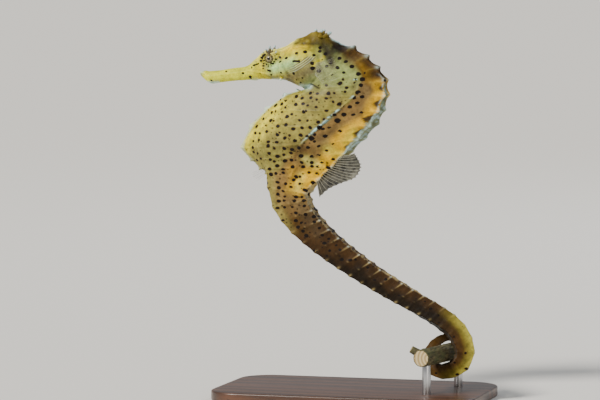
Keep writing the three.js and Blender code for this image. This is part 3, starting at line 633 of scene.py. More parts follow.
# Softness of the back's edge and reach of the golden margin, in mm, and the depth of colour of the
# strip between the ridges, of its pale folds, partly painted highlight, and of the painted highlight on the
# ridges.
BACK_EDGE = [(0, 1.5), (14, 2.0), (16, 0.9), (20, 0.9), (22, 2.0), (58, 1.2)]
MARGIN_REACH = [(16, 4.4), (18, 5.4), (19.2, 7.2)]
STRIP = [(15.3, 0), (16.4, 1), (20.6, 1), (22, 0.6), (24, 0.4), (26.5, 0)]
STRIP_FOLD_PALE_AND_HIGHLIGHT = [(15, 0.45), (17.5, 0.5), (18.5, 0.75)]
RIDGE_HIGHLIGHT = [(0, 0.16), (9, 0.14), (11, 0.04), (24, 0.05), (26, 0)]
FOLD_SHADE_DEPTH, RIDGE_HIGHLIGHT_HEIGHT = 0.06, 0.08  # mm at which the painted shade in the folds and the painted highlight on the ridges are fullest


def tone(settings, name):
    """A colour of the settings as linear red, green and blue."""
    return np.array(getattr(settings, name)[:3])


def tones_by_station(settings, tones, s):
    """The colours of a list of tones, blended from station to station."""
    places, names = zip(*tones)
    colours = np.array([tone(settings, name) for name in names])
    return np.stack([np.interp(s, places, colours[:, channel]) for channel in range(3)], -1)


def tinted(base, colour, share):
    """The base with a share of the colour over it."""
    share = np.clip(share, 0, 1)[..., None]
    return base * (1 - share) + colour * share


def down_the_side(g):
    """How far down each place lies, from 0 on the superior ridge to 1 on the lateral ridge."""
    return g.from_superior / np.maximum(g.lateral - g.superior, 0.1)


def pale_ridges_and_highlights(g):
    """Where the bony edges are pale, from 0 to 1: ridges, tubercles and the rims of the tail's rings. The
    pale is partly their own colour and partly a painted bluish rim highlight.
    """
    s = g.station
    trunk, tail = plateau(s, *TRUNK_SPAN), smooth(s, 24, 27)
    left = g.points[:, : HALF_COLUMNS + 1]
    ragged = 0.16 * lumps(left, 0.9, 17)
    broken = smooth(lumps(left, 0.9, 19), -0.5, 0.3)
    tips = ring_fold(s, 5, 0, TOOTH_LEAN) * bell(g.from_superior, 0.45)
    knobby = np.where(s < 14, 1, 0.55 + 0.45 * ring_fold(s, 1.2))
    rim = bell((s - np.rint(s) + RIM_SHIFT) * g.spacing, 0.26)
    parts = (
        0.25 * by_table(LATERAL_LIGHT, s) * bell(g.from_lateral + 1.6 * ragged, 0.3) * broken,
        trunk * tips * by_table(TIP_LIGHT, s),
        trunk * 0.5 * broken * bell(g.from_superior, 0.25) * smooth(s, 15.3, 16),
        0.8 * bell(g.arc, 0.32) * plateau(s, 11.9, 12.2, 12.8, 13),
        by_table(KEEL_LIGHT, s) * knobby * smooth(g.from_keel + 1.5 * ragged, -2.1, -1.1),
        tail * by_table(RIM_LIGHT, s) * rim * bell(g.from_superior, 0.28 * g.size),
    )
    return np.maximum.reduce(parts)


def ring_marks(g):
    """Cream bars from the tail's superior ridge down its side, and the pale dots on the ridges below."""
    s, fall = g.station, np.clip(down_the_side(g), 0, 1.2)
    shift = (s - np.rint(s) + RIM_SHIFT) * g.spacing
    bars = bell(shift, 0.19 - 0.05 * np.clip(fall, 0, 1)) * (1 - smooth(fall, 0.05, 0.85))
    bars *= smooth(g.from_superior, -0.5, -0.1)
    dots = 0.35 * bell(g.from_lateral, 0.26 * g.size) * (1 - smooth(s, 35, 39))
    dots += 0.95 * bell(g.from_inferior + 0.35 * g.size, 0.6 * g.size) * smooth(s, 26, 28.5)
    chance = np.random.default_rng(4)
    uneven, patchy = (chance.uniform(least, 1, LAST + 2)[np.rint(s).astype(int)] for least in (0.45, 0.25))
    fading = by_table(MARKS, s)
    return g.whole(fading * uneven * bars), g.whole(fading * patchy * np.clip(dots * bell(shift, 0.32), 0, 1))


def spot_amounts(g):
    """How often the pattern's cells hold a spot, and how large it is, from the spot's usual size."""
    s, above = g.station, g.boundary - g.arc
    near_back = 1 - 0.95 * smooth(above - by_table(LAST_SPOT, s), 0, 1.6) * (1 - smooth(s, 20.5, 22))
    often = by_table(SPOTS_OFTEN, s) * near_back * smooth(g.arc, 0.5, 1.4)
    often *= 1 - 0.7 * smooth(g.from_keel, -4.5, -1.5)
    larger = 1 + 0.45 * bell(above - 1.5, 2.4) * plateau(s, 15, 17, 21, 23)
    return often, larger * by_table(SPOTS_LARGER, s)


def orbit_streaks():
    """Strokes round the eye: start, end and radius, spread evenly with a seeded jitter."""
    chance = np.random.default_rng(8)
    centre = np.array([EYE["x"], EYE["z"]])
    turns = np.arange(ORBIT_STREAKS) + chance.uniform(-0.3, 0.3, ORBIT_STREAKS)
    made = []
    for turn in turns * 2 * math.pi / ORBIT_STREAKS:
        way = np.array([math.cos(turn), math.sin(turn)])
        near = chance.uniform(1.5, 2.4)
        far = near + chance.uniform(0.02, 0.5)
        made.append((centre + way * near, centre + way * far, chance.uniform(0.1, 0.26)))
    return made


def hand_spots(g):
    """Millimetres to the edge of the nearest listed spot, below 0 inside it."""
    points, s = g.points, g.station
    flat = points[..., (0, 2)] / (SPOT_LENGTHENING, 1)

    def nearest(spots):
        away = [np.linalg.norm(flat - (x / SPOT_LENGTHENING, z), axis=-1) - radius for x, z, radius in spots]
        return np.minimum(NO_SPOT, np.min(away, axis=0))

    gap = nearest(HEAD_SPOTS)
    for start, end, radius in LONG_SPOTS + orbit_streaks():
        gap = np.minimum(gap, from_line(points, start, end) - radius)
    gap = np.minimum(gap + NO_SPOT * smooth(s, *HAND_SPOTS_UNTIL), nearest(RIDGE_SPOTS))
    gap += 0.07 * lumps(points, 0.9, 77) + 0.05 * lumps(points, 0.5, 78)  # uneven edges
    return gap + NO_SPOT * (1 - smooth(np.abs(points[..., 1]), 0.3, 0.8)) * smooth(s, 5, 6)


def paint(g, settings, hollow):
    """The skin's broad colours, as sprayed on with soft edges, then painted shade in the folds and a painted
    highlight on the ridges.
    """
    points, s = g.points, g.station
    soft = 0.7 * lumps(points, 6, 11)
    above = g.whole(g.boundary - g.arc) + soft
    superior, lateral, keel = (g.whole(half) for half in (g.from_superior, g.from_lateral, -g.from_keel))
    flank, back = (tones_by_station(settings, tones, g.s)[:, None] for tones in (FLANK_TONES, BACK_TONES))
    colour = tinted(flank, back, smooth(above / by_table(BACK_EDGE, s), -0.6, 1.3))

    def spray(name, share):
        nonlocal colour
        colour = tinted(colour, tone(settings, name), share)

    # The golden margin below the tubercles.
    margin = 1 - smooth((superior + 1.2 * soft) / by_table(MARGIN_REACH, s), 0.35, 1)
    glow = 0.7 + 0.3 * np.maximum(ring_fold(s, 1), smooth(s, 18.5, 20))
    spray("gold", plateau(s, 15.6, 16.6, 23.3, 24.8) * margin * smooth(above, 1.0, 3.5) * glow)

    # Neck and flank: yellower towards the keel, with greener and greyer clouds.
    spray("head", 0.45 * (1 - smooth(keel, 1, 8)) * plateau(s, 14, 16, 21, 24))
    spray("moss", 0.3 * smooth(lumps(points, 11, 31), 0.1, 0.9) * plateau(s, 15, 18, 21, 23) * (above < 0))
    clouds = smooth(lumps(points, 5, 71), 0.0, 0.9) * plateau(s, 12.5, 14, 23, 25)
    spray("taupe", 0.3 * clouds * smooth(keel, 3, 7))
    spray("moss", 0.5 * plateau(s, 19.6, 20.6, 21.5, 23) * (above < -3))

    # The head's brown eye ring, pale forehead and freckles, and the strokes.
    far = from_eye(points)
    spray("taupe", 0.62 * bell(far, 2.7))
    spray("bone", 0.9 * bell(g.whole(g.arc), 1.8) * plateau(s, 5.2, 6.2, 9.6, 10.4))
    freckled = smooth(lumps(points, 0.7, 91), 0.15, 0.6) * bell(far - 2, 0.9)
    spray("umber", 0.62 * freckled * smooth(np.abs(points[..., 1]), 1, 2))
    for name, strength, start, end, width in STROKES:
        spray(name, strength * stroke(points, start, end, width))

    # Painted shade: darker bronze between the folds and dark notches in the hollows between the tubercles.
    # Then the grey-green strip between the ridges, whose pale folds are partly painted highlight.
    between = (1 - ring_fold(s, 1)) * by_table(HOLLOW_SHADE, s)
    overhang = by_table(STRIP_OVERHANG, s) + 0.32 * lumps(points, 1.4, 51) + 0.22 * lumps(points, 0.7, 52)
    spray("bronze", 0.4 * between * bell(superior - 1, 3.0) * (s < 25))
    notch_shade = smooth(between - 0.3 * np.clip(superior - overhang, 0, None), 0.25, 0.55)
    spray("shadow", 0.95 * notch_shade * (superior > 0) * (s < 25))
    strip = (1 - smooth(superior - overhang, -0.4, 0.0)) * by_table(STRIP, s)
    spray("slate", 0.92 * strip)
    folds = smooth(lumps(points * (1, 1, 0.6), 1.1, 61), -0.1, 0.7)
    spray("pale_edge", by_table(STRIP_FOLD_PALE_AND_HIGHLIGHT, s) * strip * folds * (s < 30))

    # The tail is lighter towards its superior ridge, with cream bars and dots and a pale crust along
    # its back. The outside of its bend is yellow-green.
    fall = g.whole(down_the_side(g))
    spray("umber", 0.75 * plateau(s, 25, 28, 40, 43) * (1 - smooth(fall + 0.4 * soft, 0.2, 1.5)))
    bars, dots = ring_marks(g)
    spray("chalk", 0.7 * bars)
    spray("chalk", 0.75 * dots)
    on_tail = plateau(s, 21.5, 24, 40, 43) * (1 - smooth(superior, -0.2, 0.2))
    spray("chalk", 0.7 * on_tail * smooth(lumps(points, 0.8, 53), -0.5, 0.4))
    spray("lime", 0.9 * plateau(s, 38.5, 41.5, 43.5, 46.5) * (1 - smooth(superior, -0.2, 3.6)))

    # Painted highlight: blue-white along the lateral ridge. Then painted shade in the folds and a pale
    # painted highlight on the ridges.
    gaps = smooth(lumps(points, 0.9, 19), -0.7, 0.1)
    spray("lateral_ridge_highlight", 0.9 * by_table(LATERAL_LIGHT, s) * bell(lateral + 0.3 * lumps(points, 0.9, 17), 0.52) * gaps)
    spray("shadow", 0.34 * np.clip(hollow / FOLD_SHADE_DEPTH, 0, 1) * (1 - 0.8 * on_tail))
    spray("bone", by_table(RIDGE_HIGHLIGHT, s) * np.clip(-hollow / RIDGE_HIGHLIGHT_HEIGHT, 0, 1))
    return colour


# ---- Meshes made in code -----------------------------------------------------------------------
def mesh_object(name, points_mm, faces):
    """A mesh object at the origin from points in millimetres. Nothing else is left selected."""
    mesh = bpy.data.meshes.new(name)
    mesh.from_pydata((np.asarray(points_mm) * MM).tolist(), [], faces)
    mesh.update()
    made = bpy.data.objects.new(name, mesh)
    bpy.context.scene.collection.objects.link(made)
    only(made)
    return made


def only(*objects):
    """Selects these objects and no others, and makes the first one active."""
    bpy.ops.object.select_all(action="DESELECT")
    for o in objects:
        o.select_set(True)
    bpy.context.view_layer.objects.active = objects[0]


def add_primitive(operator, name, **options):
    """Adds one of Blender's own shapes, with its place and turn in its points, as all that is selected."""
    bpy.ops.object.select_all(action="DESELECT")
    operator(**options)
    made = bpy.context.object
    made.name = name
    bpy.ops.object.transform_apply(location=True, rotation=True, scale=True)
    return made


def hand_in(piece, slot, *nodes):
    """Attaches a piece to the root body and hides the nodes of the frame that it stands for. The slot is not
    used.
    """
    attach(piece, "root")
    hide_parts(*nodes)


def add_attribute(mesh, name, kind, values):
    """Gives each vertex of a mesh a value or a colour."""
    attribute = mesh.attributes.new(name, kind, "POINT")
    key = "color" if kind == "FLOAT_COLOR" else "value"
    attribute.data.foreach_set(key, np.asarray(values, np.float32).ravel())


PAINT_VALUES = ("light", "often", "larger", "gap")  # what each vertex has besides its colour
ODD_WAY = (0.31, 0.87, 0.38)  # no knob points this way
BEAD_LENGTH = 1.1  # how far a knob's bead goes past its tip, as a share of the bead's radius
OTHER_SIDE = 300.0  # mm: the right flank's pattern is another part of the same field


class Skin:
    """Vertices, faces and paint of the skin, gathered before the mesh is made."""

    def __init__(self):
        self.points, self.colours, self.values, self.faces, self.flat = [], [], [], [], []
        self.count = 0

    def add(self, points, colours, values):
        """Adds vertices and says where they start."""
        start = self.count
        self.points.append(points.reshape(-1, 3))
        self.colours.append(colours.reshape(-1, 3))
        self.values.append(values.reshape(-1, 4))
        self.count += len(self.points[-1])
        return start

    def add_knob(self, foot, tip, radii, colour, light, sides=14, rings=9):
        """A blunt stalk from foot to tip that flares at its foot, with a bead at its tip."""
        foot, tip = np.array(foot, float), np.array(tip, float)
        axis = tip - foot
        length = np.linalg.norm(axis)
        axis /= length
        across = np.cross(axis, ODD_WAY)
        across /= np.linalg.norm(across)
        thick, thin, bead = radii
        share = np.linspace(0, 1, rings)
        radius = thin + (thick - thin) * (1 - share) ** 1.8
        along = share * length
        dome = np.linspace(0.25, 1, 5) * math.pi / 2
        radius = np.concatenate([radius, bead * np.cos(dome)[:-1]])
        along = np.concatenate([along, length + bead * np.sin(dome)[:-1] * BEAD_LENGTH])
        radius[rings - 1] = bead
        turn = np.arange(sides) * 2 * math.pi / sides
        circle = np.cos(turn)[:, None] * across + np.sin(turn)[:, None] * np.cross(axis, across)
        rows = foot + along[:, None, None] * axis + radius[:, None, None] * circle
        ends = np.array([foot, tip + axis * bead * BEAD_LENGTH])
        points = np.concatenate([rows.reshape(-1, 3), ends])
        lit = np.concatenate([np.repeat(smooth(along / along[-1], 0.6, 0.9), sides), [0, 1]]) * light
        values = np.stack([lit, 0 * lit, 1 + 0 * lit, NO_SPOT + 0 * lit], -1)
        start = self.add(points, np.repeat([colour], len(points), 0), values)
        count = len(radius)
        for r in range(count - 1):
            for j in range(sides):
                k = (j + 1) % sides
                a, b = start + r * sides, start + (r + 1) * sides
                self._face([a + j, a + k, b + k, b + j])
        for j in range(sides):
            k = (j + 1) % sides
            top = start + (count - 1) * sides
            self._face([start + count * sides, start + k, start + j])
            self._face([start + count * sides + 1, top + j, top + k])

    def _face(self, corners):
        """Adds a face outside the flank's pattern."""
        self.faces.append(corners)
        self.flat.extend([(0.0, 0.0)] * len(corners))

    def add_loft(self, rows, colours, values, unrolled, thin_row):
        """The body itself: full rows up to thin_row, then rows of every second column."""
        n, m = AROUND, AROUND // 2
        thick = thin_row + 1
        first = self.add(rows[:thick], colours[:thick], values[:thick])
        second = self.add(rows[thick:, ::2], colours[thick:, ::2], values[thick:, ::2])

        def at(r, j):
            return first + r * n + j % n if r <= thin_row else second + (r - thick) * m + (j % n) // 2

        def flat_at(r, j, right):
            x, z = unrolled[r, n - j if right else j]
            return (x + OTHER_SIDE * right, z)

        for r in range(len(rows) - 1):
            step = 1 if r < thin_row else 2
            for j in range(0, n, step):
                right = j >= HALF_COLUMNS
                corners = [(r, j), (r, j + step), (r + 1, j + step), (r + 1, j)]
                if r == thin_row:
                    corners.insert(1, (r, j + 1))
                self.faces.append([at(*corner) for corner in corners])
                self.flat.extend(flat_at(*corner, right) for corner in corners)
        for r, step in ((0, 1), (len(rows) - 1, 2)):
            middle = self.add(rows[r].mean(0)[None], colours[r, :1], values[r, :1])
            for j in range(0, n, step):
                pair = [at(r, j + step), at(r, j)] if r == 0 else [at(r, j), at(r, j + step)]
                self.faces.append([*pair, middle])
                self.flat.extend([tuple(unrolled[r, 0])] * 3)

    def make(self, name):
        """The mesh, with its faces turned outwards and shaded smooth."""
        made = mesh_object(name, np.concatenate(self.points), self.faces)
        values = np.concatenate(self.values)
        colours = np.concatenate(self.colours)
        opaque = np.concatenate([colours, np.ones((len(colours), 1))], axis=1)
        add_attribute(made.data, "paint", "FLOAT_COLOR", opaque)
        for i, key in enumerate(PAINT_VALUES):
            add_attribute(made.data, key, "FLOAT", values[:, i])
        layer = made.data.uv_layers.new(name="Flank")
        layer.data.foreach_set("uv", np.asarray(self.flat, np.float32).ravel())
        bpy.ops.object.mode_set(mode="EDIT")
        bpy.ops.mesh.select_all(action="SELECT")
        bpy.ops.mesh.normals_make_consistent(inside=False)
        bpy.ops.object.mode_set(mode="OBJECT")
        bpy.ops.object.shade_smooth()
        return made


# ---- Materials ---------------------------------------------------------------------------------
def input_of(node, key):
    """An input by its label in lower case with _ for a space, or by its place as i0, i1 and so on."""
    if key[0] == "i" and key[1:].isdigit():
        return node.inputs[int(key[1:])]
    return next(i for i in node.inputs if i.name.lower().replace(" ", "_") == key and i.enabled)


def add_node(tree, kind, options=None, **inputs):
    """Adds a node with its own options. Each input takes a value or another node's output."""
    node = tree.nodes.new(f"ShaderNode{kind}")
    for key, value in (options or {}).items():
        setattr(node, key, value)
    for key, value in inputs.items():
        if isinstance(value, bpy.types.NodeSocket):
            tree.links.new(value, input_of(node, key))
        else:
            input_of(node, key).default_value = value
    return node


def new_material(name):
    """A material, its empty node tree, and the object's own coordinates, which place its patterns."""
    material = bpy.data.materials.new(name)
    material.use_nodes = True
    tree = material.node_tree
    tree.nodes.clear()
    return material, tree, add_node(tree, "TexCoord").outputs["Object"]


def add_shader(tree, **inputs):
    """Ends the tree with a Principled shader that has these inputs."""
    shader = add_node(tree, "BsdfPrincipled", **inputs)
    add_node(tree, "OutputMaterial", surface=shader.outputs[0])


def mixed(tree, share, low, high, blend="MIX"):
    """The colour low where share is 0 and high where it is 1. Either may be a colour or an output."""
    options = {"data_type": "RGBA", "blend_type": blend}
    return add_node(tree, "Mix", options, i0=share, i6=low, i7=high).outputs[2]


def ramp(tree, value, low, high, to_low=0, to_high=1, eased=False):
    """The stretch of a value from low to high, laid over to_low to to_high and held beyond them."""
    options = {"interpolation_type": "SMOOTHSTEP" if eased else "LINEAR"}
    span = {"from_min": low, "from_max": high, "to_min": to_low, "to_max": to_high}
    return add_node(tree, "MapRange", options, value=value, **span).outputs[0]


def noise(tree, place, scale, detail, roughness=0.5):
    """Cloudy noise from 0 to 1. The scale is how many clouds there are to a metre."""
    grain = {"scale": scale, "detail": detail, "roughness": roughness}
    return add_node(tree, "TexNoise", vector=place, **grain).outputs[0]


def maths(tree, operation, *values):
    """A sum on one to three numbers."""
    values = {f"i{i}": value for i, value in enumerate(values)}
    return add_node(tree, "Math", {"operation": operation}, **values).outputs[0]


def vector_maths(tree, operation, a, b):
    """A sum on two vectors that gives a vector."""
    return add_node(tree, "VectorMath", {"operation": operation}, i0=a, i1=b).outputs[0]


def stretched(tree, place, scale, turn=0.0):
    """Coordinates scaled along each axis, then turned about the vertical."""
    return add_node(tree, "Mapping", vector=place, rotation=(0, 0, turn), scale=scale).outputs[0]


def bump(tree, height, strength, distance, invert=False, **normal):
    """A normal bent by a height, whose full range stands for distance metres."""
    depth = {"strength": strength, "distance": distance}
    return add_node(tree, "Bump", {"invert": invert}, height=height, **depth, **normal).outputs[0]


def from_axis(tree, place, centre):
    """The way from an axis that runs across the body at the centre's x and z, and how far it is."""
    offset = vector_maths(tree, "SUBTRACT", place, (centre["x"] * MM, 0, centre["z"] * MM))
    offset = vector_maths(tree, "MULTIPLY", offset, (1, 0, 1))
    return offset, add_node(tree, "VectorMath", {"operation": "LENGTH"}, i0=offset).outputs["Value"]


ARC_WAVER = 0.0006  # metres that the gill cover's arcs stray, for the whole range of the noise
ARC_EDGE, ARC_FRONT, ARC_TOP = 0.3, 4.5, 1  # mm over which they fade at the sides, in front and above
ARC_LINES = ((0.5, 1.0, "pale_edge", 0.34), (0.1, -0.7, "taupe", 0.85))  # part of the wave, colour, strength
SPOT_WANDER = 0.5  # millimetres, and waves for each millimetre
SPOT_CELLS_UNEVEN = 0.8
HAND_EDGE = (0.08, -0.06)  # mm from a listed spot's line where its colour sets in and is full
SPOT_LAYERS = (  # share of the spacing, radii, share of the cells that may hold one, softness, strength, halo
    (1.0, (0.28, 0.5), 1.0, 0.07, 1.0, (0.28, 0.4)),
    (0.66, (0.12, 0.24), 0.5, 0.1, 0.75, None),
)


def with_gill_arcs(tree, place, broad, colour, settings):
    """Lays the gill cover's fine pale and dark arcs over a colour."""
    far = from_axis(tree, place, GILL_ARC)[1]
    waver = maths(tree, "MULTIPLY_ADD", broad, ARC_WAVER, far)
    wave = maths(tree, "COSINE", maths(tree, "MULTIPLY", waver, 2 * math.pi / (GILL_ARC["spacing"] * MM)))
    axes = add_node(tree, "SeparateXYZ", vector=place).outputs
    inner, outer = GILL_ARC["inner"], GILL_ARC["outer"]
    front, top = GILL_ARC_ENDS["front"], GILL_ARC_ENDS["top"]
    zone = ramp(tree, far, inner * MM, (inner + ARC_EDGE) * MM, eased=True)
    limits = (
        (far, outer, outer - ARC_EDGE),
        (axes[0], front, front + ARC_FRONT),
        (axes[2], top, top - ARC_TOP),
    )
    for value, outside, inside in limits:
        zone = maths(tree, "MULTIPLY", zone, ramp(tree, value, outside * MM, inside * MM, eased=True))
    for low, high, name, strength in ARC_LINES:
        share = maths(tree, "MULTIPLY", ramp(tree, wave, low, high, to_high=strength), zone)
        colour = mixed(tree, share, colour, getattr(settings, name))
    return colour


def with_spots(tree, flat, often, larger, gap, colour, settings):
    """Lays the spots over a colour: one at most in each cell of a loose lattice on the unrolled flank,
    measured in mm, and the listed ones."""
    wander = add_node(tree, "TexNoise", {"noise_dimensions": "2D"}, vector=flat, scale=SPOT_WANDER, detail=0)
    wander = vector_maths(tree, "SUBTRACT", wander.outputs["Color"], (0.5, 0.5, 0.5))
    wander = vector_maths(tree, "MULTIPLY", wander, (SPOT_WANDER,) * 3)
    placed = vector_maths(tree, "ADD", flat, wander)
    placed = vector_maths(tree, "MULTIPLY", placed, (1 / SPOT_LENGTHENING, 1, 1))
    dark = ramp(tree, gap, *HAND_EDGE, eased=True)
    for closeness, (least, greatest), held, softness, strength, halo in SPOT_LAYERS:
        spacing = settings.spot_spacing * closeness
        lattice = {"scale": 1 / spacing, "randomness": SPOT_CELLS_UNEVEN}
        cells = add_node(tree, "TexVoronoi", {"voronoi_dimensions": "2D"}, vector=placed, **lattice).outputs
        dice = add_node(tree, "SeparateColor", color=cells["Color"]).outputs
        radius = ramp(tree, dice[0], 0, 1, least / spacing, greatest / spacing)
        present = maths(tree, "LESS_THAN", dice[1], maths(tree, "MULTIPLY", often, held))
        away = maths(tree, "SUBTRACT", cells["Distance"], maths(tree, "MULTIPLY", radius, larger))
        inside = ramp(tree, away, softness / spacing, -softness / spacing, to_high=strength, eased=True)
        dark = maths(tree, "MAXIMUM", dark, maths(tree, "MULTIPLY", inside, present))
        if halo:
            brown = ramp(tree, away, halo[0] / spacing, 0, to_high=halo[1], eased=True)
            colour = mixed(tree, maths(tree, "MULTIPLY", brown, present), colour, settings.halo, "DARKEN")
    return mixed(tree, dark, colour, settings.spot)


def painted_skin(settings):
    """Cast resin with sprayed and hand-spotted acrylic under a satin varnish: soft mottled colours, crisp
    near-black spots, pale bony edges with a painted bluish highlight, painted shade in the folds and a fine
    pebbled grain."""
    material, tree, place = new_material("painted_resin_seahorse_skin")
    layers = ({"attribute_name": key} for key in ("paint", *PAINT_VALUES))
    sprayed, *layers = (add_node(tree, "Attribute", layer).outputs for layer in layers)
    light, often, larger, gap = (layer["Fac"] for layer in layers)
    flat = add_node(tree, "UVMap", {"uv_map": "Flank"}).outputs[0]

    # Mottling 2.2 mm and 0.5 mm across, in brightness.
    broad, fine = noise(tree, place, 450, 3, 0.6), noise(tree, place, 2000, 3, 0.65)
    patchy, grainy = ramp(tree, broad, 0.3, 0.7, 0.66, 1.24), ramp(tree, fine, 0.3, 0.7, 0.84, 1.12)
    mottled = maths(tree, "MULTIPLY", patchy, grainy)
    grey = add_node(tree, "CombineColor", red=mottled, green=mottled, blue=mottled).outputs[0]
    colour = mixed(tree, 1.0, sprayed["Color"], grey, "MULTIPLY")
    colour = with_gill_arcs(tree, place, broad, colour, settings)

    # Pale edges, partly their own colour and partly a painted highlight, dry-brushed so that the grain breaks
    # them up.
    edge = maths(tree, "MULTIPLY", light, ramp(tree, fine, 0.3, 0.6, 0.55, 1.15))
    colour = mixed(tree, edge, colour, settings.pale_edge)
    colour = with_spots(tree, flat, often, larger, gap, colour, settings)

    # Satin varnish: a little duller in the grain, with a pebble of 0.25 mm.
    pebbled = bump(tree, noise(tree, place, 4000, 2), 0.35, 0.00012)
    add_shader(
        tree, base_color=colour, roughness=ramp(tree, fine, 0.3, 0.7, 0.5, 0.66),
        normal=bump(tree, broad, 0.4, 0.0003, normal=pebbled), ior=1.45, specular_ior_level=0.14,
        coat_weight=0.03, coat_roughness=0.2, subsurface_weight=0.05, subsurface_scale=0.0006,
    )
    return material


def fin_membrane(name, opacity, settings):
    """Thin vacuum-formed PET, tinted smoky or left clear: see-through, with a satin surface."""
    material, tree, place = new_material(name)
    cloud = noise(tree, place, 700, 2)
    colour = mixed(tree, ramp(tree, cloud, 0.35, 0.7, to_high=0.5), settings.membrane, settings.ray_joint)
    uneven = bump(tree, cloud, 0.3, 0.0001)
    add_shader(
        tree, base_color=colour, normal=uneven, alpha=opacity, roughness=0.4, ior=1.57, specular_ior_level=0.3
    )
    return material


def fin_ray(name, opacity, settings):
    """Pulled nylon filament, tinted ivory and broken by darker joints 0.5 mm apart. Left unpainted
    it is nearly as clear as the sheet."""
    material, tree, place = new_material(name)
    joints = ramp(tree, noise(tree, place, 2000, 1), 0.42, 0.6)
    colour = mixed(tree, joints, settings.ray_joint, settings.ray)
    add_shader(tree, base_color=colour, alpha=opacity, roughness=0.45, ior=1.53)
    return material


def painted_eye(settings):
    """Lampworked glass: a dull gold iris with brown rays behind a clear wet-looking front."""
    material, tree, place = new_material("lampworked_glass_eye")
    offset, far = from_axis(tree, place, EYE)
    way = add_node(tree, "VectorMath", {"operation": "NORMALIZE"}, i0=offset).outputs[0]
    rays = ramp(tree, noise(tree, way, 5.5, 3, 0.7), 0.46, 0.55)
    colour = mixed(tree, rays, settings.iris_gold, settings.iris_brown)
    blotches = ramp(tree, noise(tree, place, 1300, 2), 0.52, 0.6, to_high=0.8)
    colour = mixed(tree, blotches, colour, settings.iris_brown)
    for radius, blur, target in (
        (settings.pupil * 1.35, 0.00014, settings.iris_ring),
        (settings.pupil, 0.00004, settings.pupil_black),
    ):
        colour = mixed(tree, ramp(tree, far, radius + blur, radius - blur, eased=True), colour, target)
    edge = ramp(tree, far, 0.0012, 0.00145, to_high=0.8, eased=True)
    colour = mixed(tree, edge, colour, settings.iris_brown)
    add_shader(
        tree, base_color=colour, roughness=0.3, ior=1.52, specular_ior_level=0.25, coat_weight=0.6,
        coat_roughness=0.05,
    )
    return material


def stem_bark(settings):
    """The skin of a cut, dried stem: dull green-brown with lengthwise fissures and fine dust."""
    material, tree, place = new_material("dried_stem_bark")
    fissures = noise(tree, stretched(tree, place, (1, 0.16, 1), math.atan(TWIG_SLOPE)), 1500, 4, 0.65)
    colour = mixed(tree, ramp(tree, fissures, 0.35, 0.68), settings.bark_dark, settings.bark_light)
    patches = ramp(tree, noise(tree, place, 260, 3), 0.45, 0.65, to_high=0.6)
    colour = mixed(tree, patches, colour, settings.bark_green)
    add_shader(tree, base_color=colour, normal=bump(tree, fissures, 0.7, 0.0002), roughness=0.82, ior=1.45)
    return material


def cut_wood(settings):
    """Sawn stem wood: pale, with rings 1 mm apart round the pith."""
    material, tree, place = new_material("sawn_stem_wood")
    from_pith = vector_maths(tree, "SUBTRACT", place, tuple(TWIG_CENTRE * MM))
    along = stretched(tree, from_pith, (1, 0.01, 1), math.atan(TWIG_SLOPE))
    rings = {"wave_type": "RINGS", "rings_direction": "Y"}
    rings = add_node(tree, "TexWave", rings, vector=along, scale=310, distortion=1.2, detail=2)
    colour = mixed(tree, rings.outputs["Fac"], settings.cut_pale, settings.cut_ring)
    add_shader(tree, base_color=colour, roughness=0.75, ior=1.45)
    return material


def walnut(settings):
    """Oiled and waxed American walnut, planed and sanded: dark flowing figure with fine short pores."""
    material, tree, place = new_material("waxed_walnut")
    along = stretched(tree, place, (0.11, 1, 0.6))
    figure = add_node(
        tree, "TexWave", {"bands_direction": "Y"}, vector=along,
        scale=42, distortion=9, detail=4, detail_scale=1.6, detail_roughness=0.6,
    )
    lines = ramp(tree, figure.outputs["Fac"], 0.1, 0.9)
    colour = mixed(tree, lines, settings.wood_dark, settings.wood_light)
    colour = mixed(tree, noise(tree, along, 55, 3), colour, settings.wood_warm)
    pores = noise(tree, stretched(tree, place, (0.07, 1, 1)), 3400, 2, 0.55)
    pores = ramp(tree, pores, 0.58, 0.7, to_high=0.8)
    colour = mixed(tree, pores, colour, settings.wood_dark)
    add_shader(
        tree, base_color=colour, normal=bump(tree, pores, 0.35, 0.00008, invert=True),
        roughness=0.38, ior=1.5, coat_weight=0.25, coat_roughness=0.22,
    )
    return material


def brushed_steel(settings):
    """Drawn stainless steel rod: fine scratches along its length blur the reflections."""
    material, tree, place = new_material("drawn_stainless_steel")
    scratches = noise(tree, stretched(tree, place, (1, 1, 0.03)), 9000, 2)
    add_shader(
        tree, base_color=settings.steel, metallic=1.0, roughness=ramp(tree, scratches, 0, 1, 0.22, 0.42),
        normal=bump(tree, scratches, 0.2, 0.00003),
    )
    return material


def matt_card(settings):
    """Pale matt card under the model."""
    material, tree, place = new_material("pale_matt_card")
    fibres = ramp(tree, noise(tree, place, 900, 3), 0, 1, to_high=0.12)
    add_shader(
        tree, base_color=mixed(tree, fibres, settings.floor, linear("#c8c6c0")), roughness=0.95, ior=1.45
    )
    return material


# ---- Settings ----------------------------------------------------------------------------------
def paint_colour(name, description, default):
    """A colour setting, from an sRGB hex value."""
    return FloatVectorProperty(
        name=name, description=description, subtype="COLOR", size=4, min=0, max=1, default=linear(default)
    )


def amount(name, description, default, **options):
    """A setting that is a number."""
    return FloatProperty(name=name, description=description, default=default, **options)


def length(name, description, default):
    """A setting that is a length in metres."""
    return amount(name, description, default, unit="LENGTH", subtype="DISTANCE", min=0)


